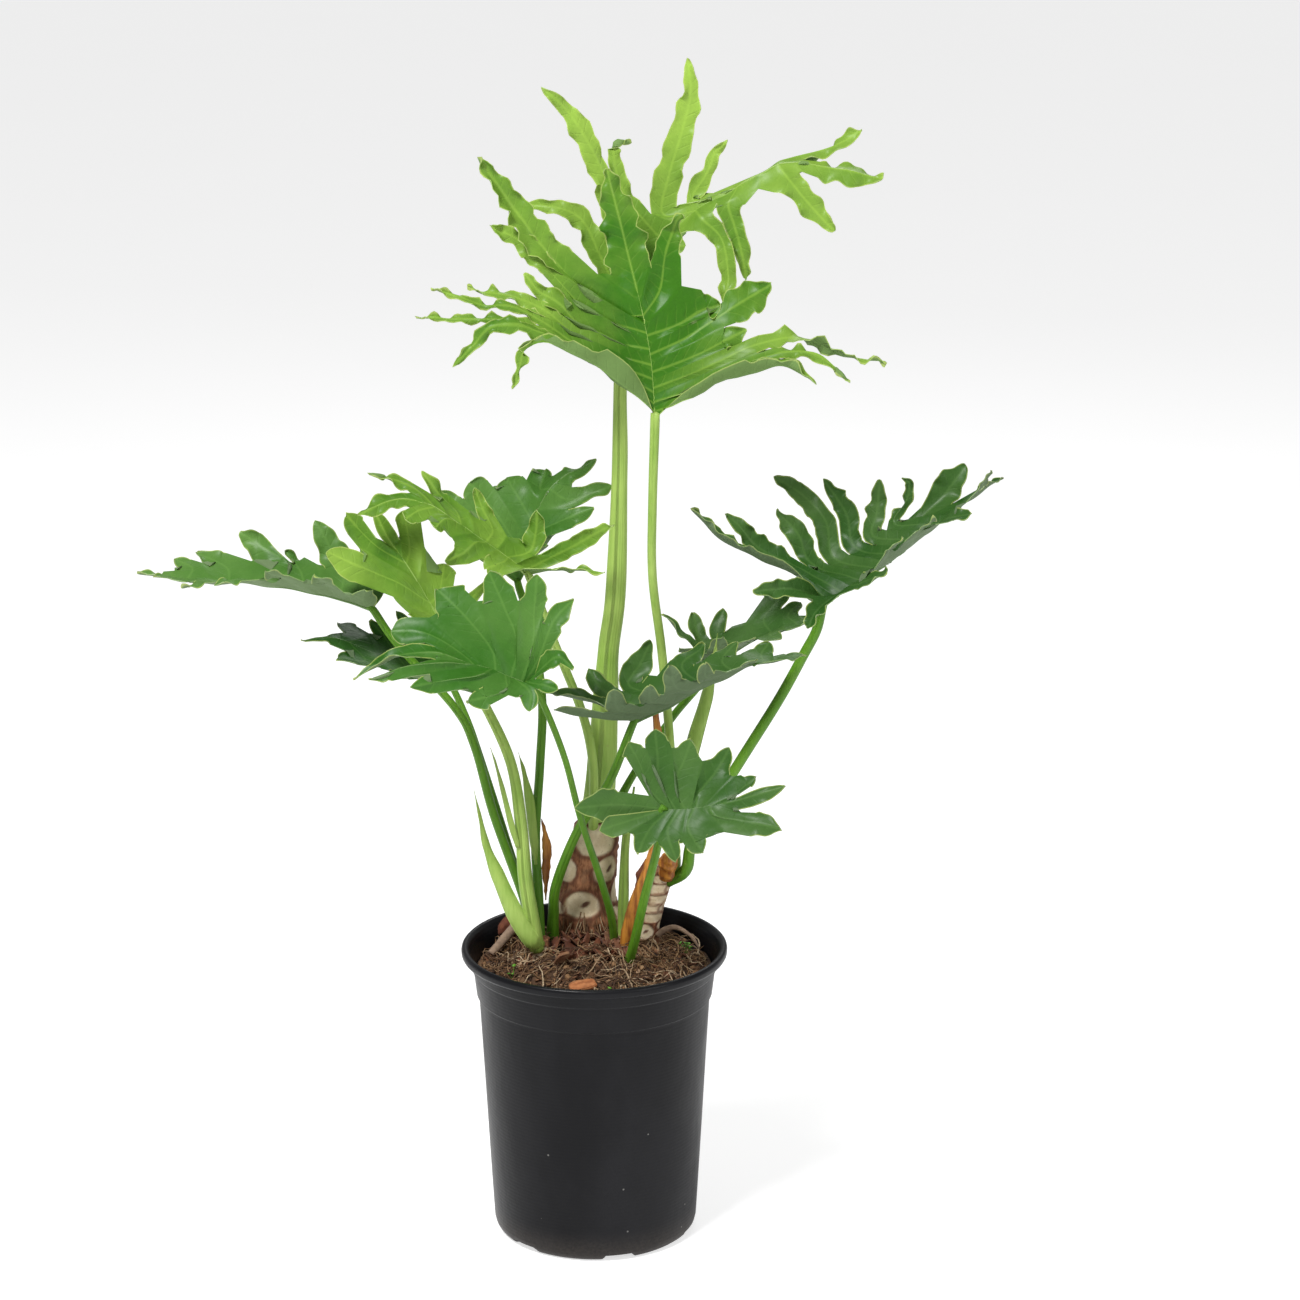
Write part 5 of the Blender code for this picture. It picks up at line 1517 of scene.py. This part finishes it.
POT.gloss(smudge * 0.3 + 0.36 - high * 0.06)
rings_of_mould = (band * 1000).wave(3.1)
POT.relief((dust, 0.002), (fine_dust, 0.00006), (rings_of_mould, 0.00004))

# %% Pot
RIM, POT_TOP, FOOT = 110, 248, 85
NOTCH_TOP, NOTCH_HALF, NOTCH_RADIUS = 5.5, 13, 72
FIRST_NOTCH, NOTCH_COUNT = -75, 6
POT_SIDES = 300
# How far each point of the steps and the lip lies inside the rim and below the top.
LIP = [
    (16, 43), (14.5, 41), (11.5, 19), (9.5, 10), (6.5, 3), (5, 0.8), (3.5, 0), (1.6, 0.2),
    (0.4, 1.4), (0, 3.2), (0.2, 6), (1.2, 7.8), (3.4, 8.4), (6.4, 8.8), (7.0, 9.6), (8.3, 17.6),
    (8.9, 18.6), (9.5, 19), (9.9, 20), (12.4, 40.6), (13.2, 41.4), (14, 42), (14.4, 43.5),
]
PROFILE = [
    (FOOT - 8, 3), (FOOT - 4, 6), (FOOT - 2, 12), (90.5, 130),
    *((RIM - inside, POT_TOP - below) for inside, below in LIP),
    (92.4, 150), (89.4, 90), (86.6, 40), (FOOT + 0.2, 16), (FOOT - 0.2, 9.5), (FOOT - 1.2, 5.6),
    (FOOT - 3, 2.6), (FOOT - 5.4, 0.8), (FOOT - 8, 0), (NOTCH_RADIUS + 0.2, 0), (NOTCH_RADIUS, 0),
    (40, 0),
]


def in_notch(degrees):
    """How far a direction is inside a drain notch, from 0 to 1."""
    step = 360 / NOTCH_COUNT
    away = (degrees - FIRST_NOTCH + step / 2) % step - step / 2
    half = math.degrees(NOTCH_HALF / FOOT)
    return smooth((half - abs(away)) / 1.6 + 0.5)


pot = Surface()
pot_rings = []
for radius, z in PROFILE:
    ring = []
    for k in range(POT_SIDES):
        degrees = 360 * k / POT_SIDES
        turn = math.radians(degrees)
        lift = in_notch(degrees) if radius > NOTCH_RADIUS and z < NOTCH_TOP else 0.0
        sway = 0.25 * wobble(math.cos(turn) * 3, z / 60, 0) if 20 < z < 200 else 0.0
        ring.append(pot.add((*polar(radius + sway, turn), z + (NOTCH_TOP - z) * lift)))
    pot_rings.append(ring)
inside_hub, under_hub = pot.add((0, 0, 3)), pot.add((0, 0, 0))
pot.bands(pot_rings, turned=True)
pot.fan(inside_hub, pot_rings[0])
pot.fan(under_hub, pot_rings[-1], flip=True)
pot_piece = pot.build("nursery_pot", [POT], "pot_plastic", "pot")
crease = pot_piece.modifiers.new("crisp_steps", "WEIGHTED_NORMAL")
crease.keep_sharp = True
print("the pot has", len(pot.faces), "faces and", NOTCH_COUNT, "drain notches")

# %% [markdown]
# ## Floor and light
# The plant stands on a plain pale floor in soft light: one large lamp high in front on the left,
# a weaker one on the right, and an even pale sky, so that the shadows under the leaves stay soft.

# %% Floor, lamps and sky
floor_mesh = bpy.data.meshes.new("studio_floor")
floor_mesh.from_pydata([(-30, -30, 0), (30, -30, 0), (30, 30, 0), (-30, 30, 0)], [], [(0, 1, 2, 3)])
floor = placed("studio_floor", floor_mesh)
floor_finish = Finish("studio_floor", 0.9)
floor_cloud = floor_finish.cloud(1.5, 2)
floor_finish.colour(floor_finish.blend(floor_cloud, (0.62, 0.62, 0.62), (0.64, 0.64, 0.64)))
floor_finish.shader.inputs["Emission Color"].default_value = (1, 1, 1, 1)
floor_finish.shader.inputs["Emission Strength"].default_value = 0.66
floor_mesh.materials.append(floor_finish.material)
floor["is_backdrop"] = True


def lamp(name, place, aim, size, power):
    data = bpy.data.lights.new(name, "AREA")
    data.shape, data.size, data.energy = "DISK", size, power
    made = placed(name, data)
    made.location = place
    made.rotation_euler = (Vector(aim) - Vector(place)).to_track_quat("-Z", "Y").to_euler()


lamp("key_lamp", (-1.1, -1.7, 3.0), (0, 0, 0.6), 0.8, 100)
lamp("fill_lamp", (2.2, -1.8, 1.6), (0, 0, 0.4), 1.4, 16)
lamp("back_lamp", (0.4, 2.4, 2.6), (0, 0, 0.6), 1.6, 22)

sky = bpy.data.worlds.new("studio_sky")
sky.use_nodes = True
sky.node_tree.nodes["Background"].inputs["Color"].default_value = (1.0, 1.0, 1.0, 1)
sky.node_tree.nodes["Background"].inputs["Strength"].default_value = 0.28
bpy.context.scene.world = sky
bpy.context.scene.view_settings.view_transform = "Standard"

# %% [markdown]
# ## Measuring and finishing
# The box of the visual model is measured and kept beside the imported one's, and the visual box is
# printed.  The visual model must not be larger than the imported one.

# %% Sizes and the end
visual_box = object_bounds()
boxes = {
    "cad": [list(corner) for corner in cad_box],
    "visual": [list(corner) for corner in visual_box],
}
print("visual box:", [[round(c, 3) for c in corner] for corner in boxes["visual"]])
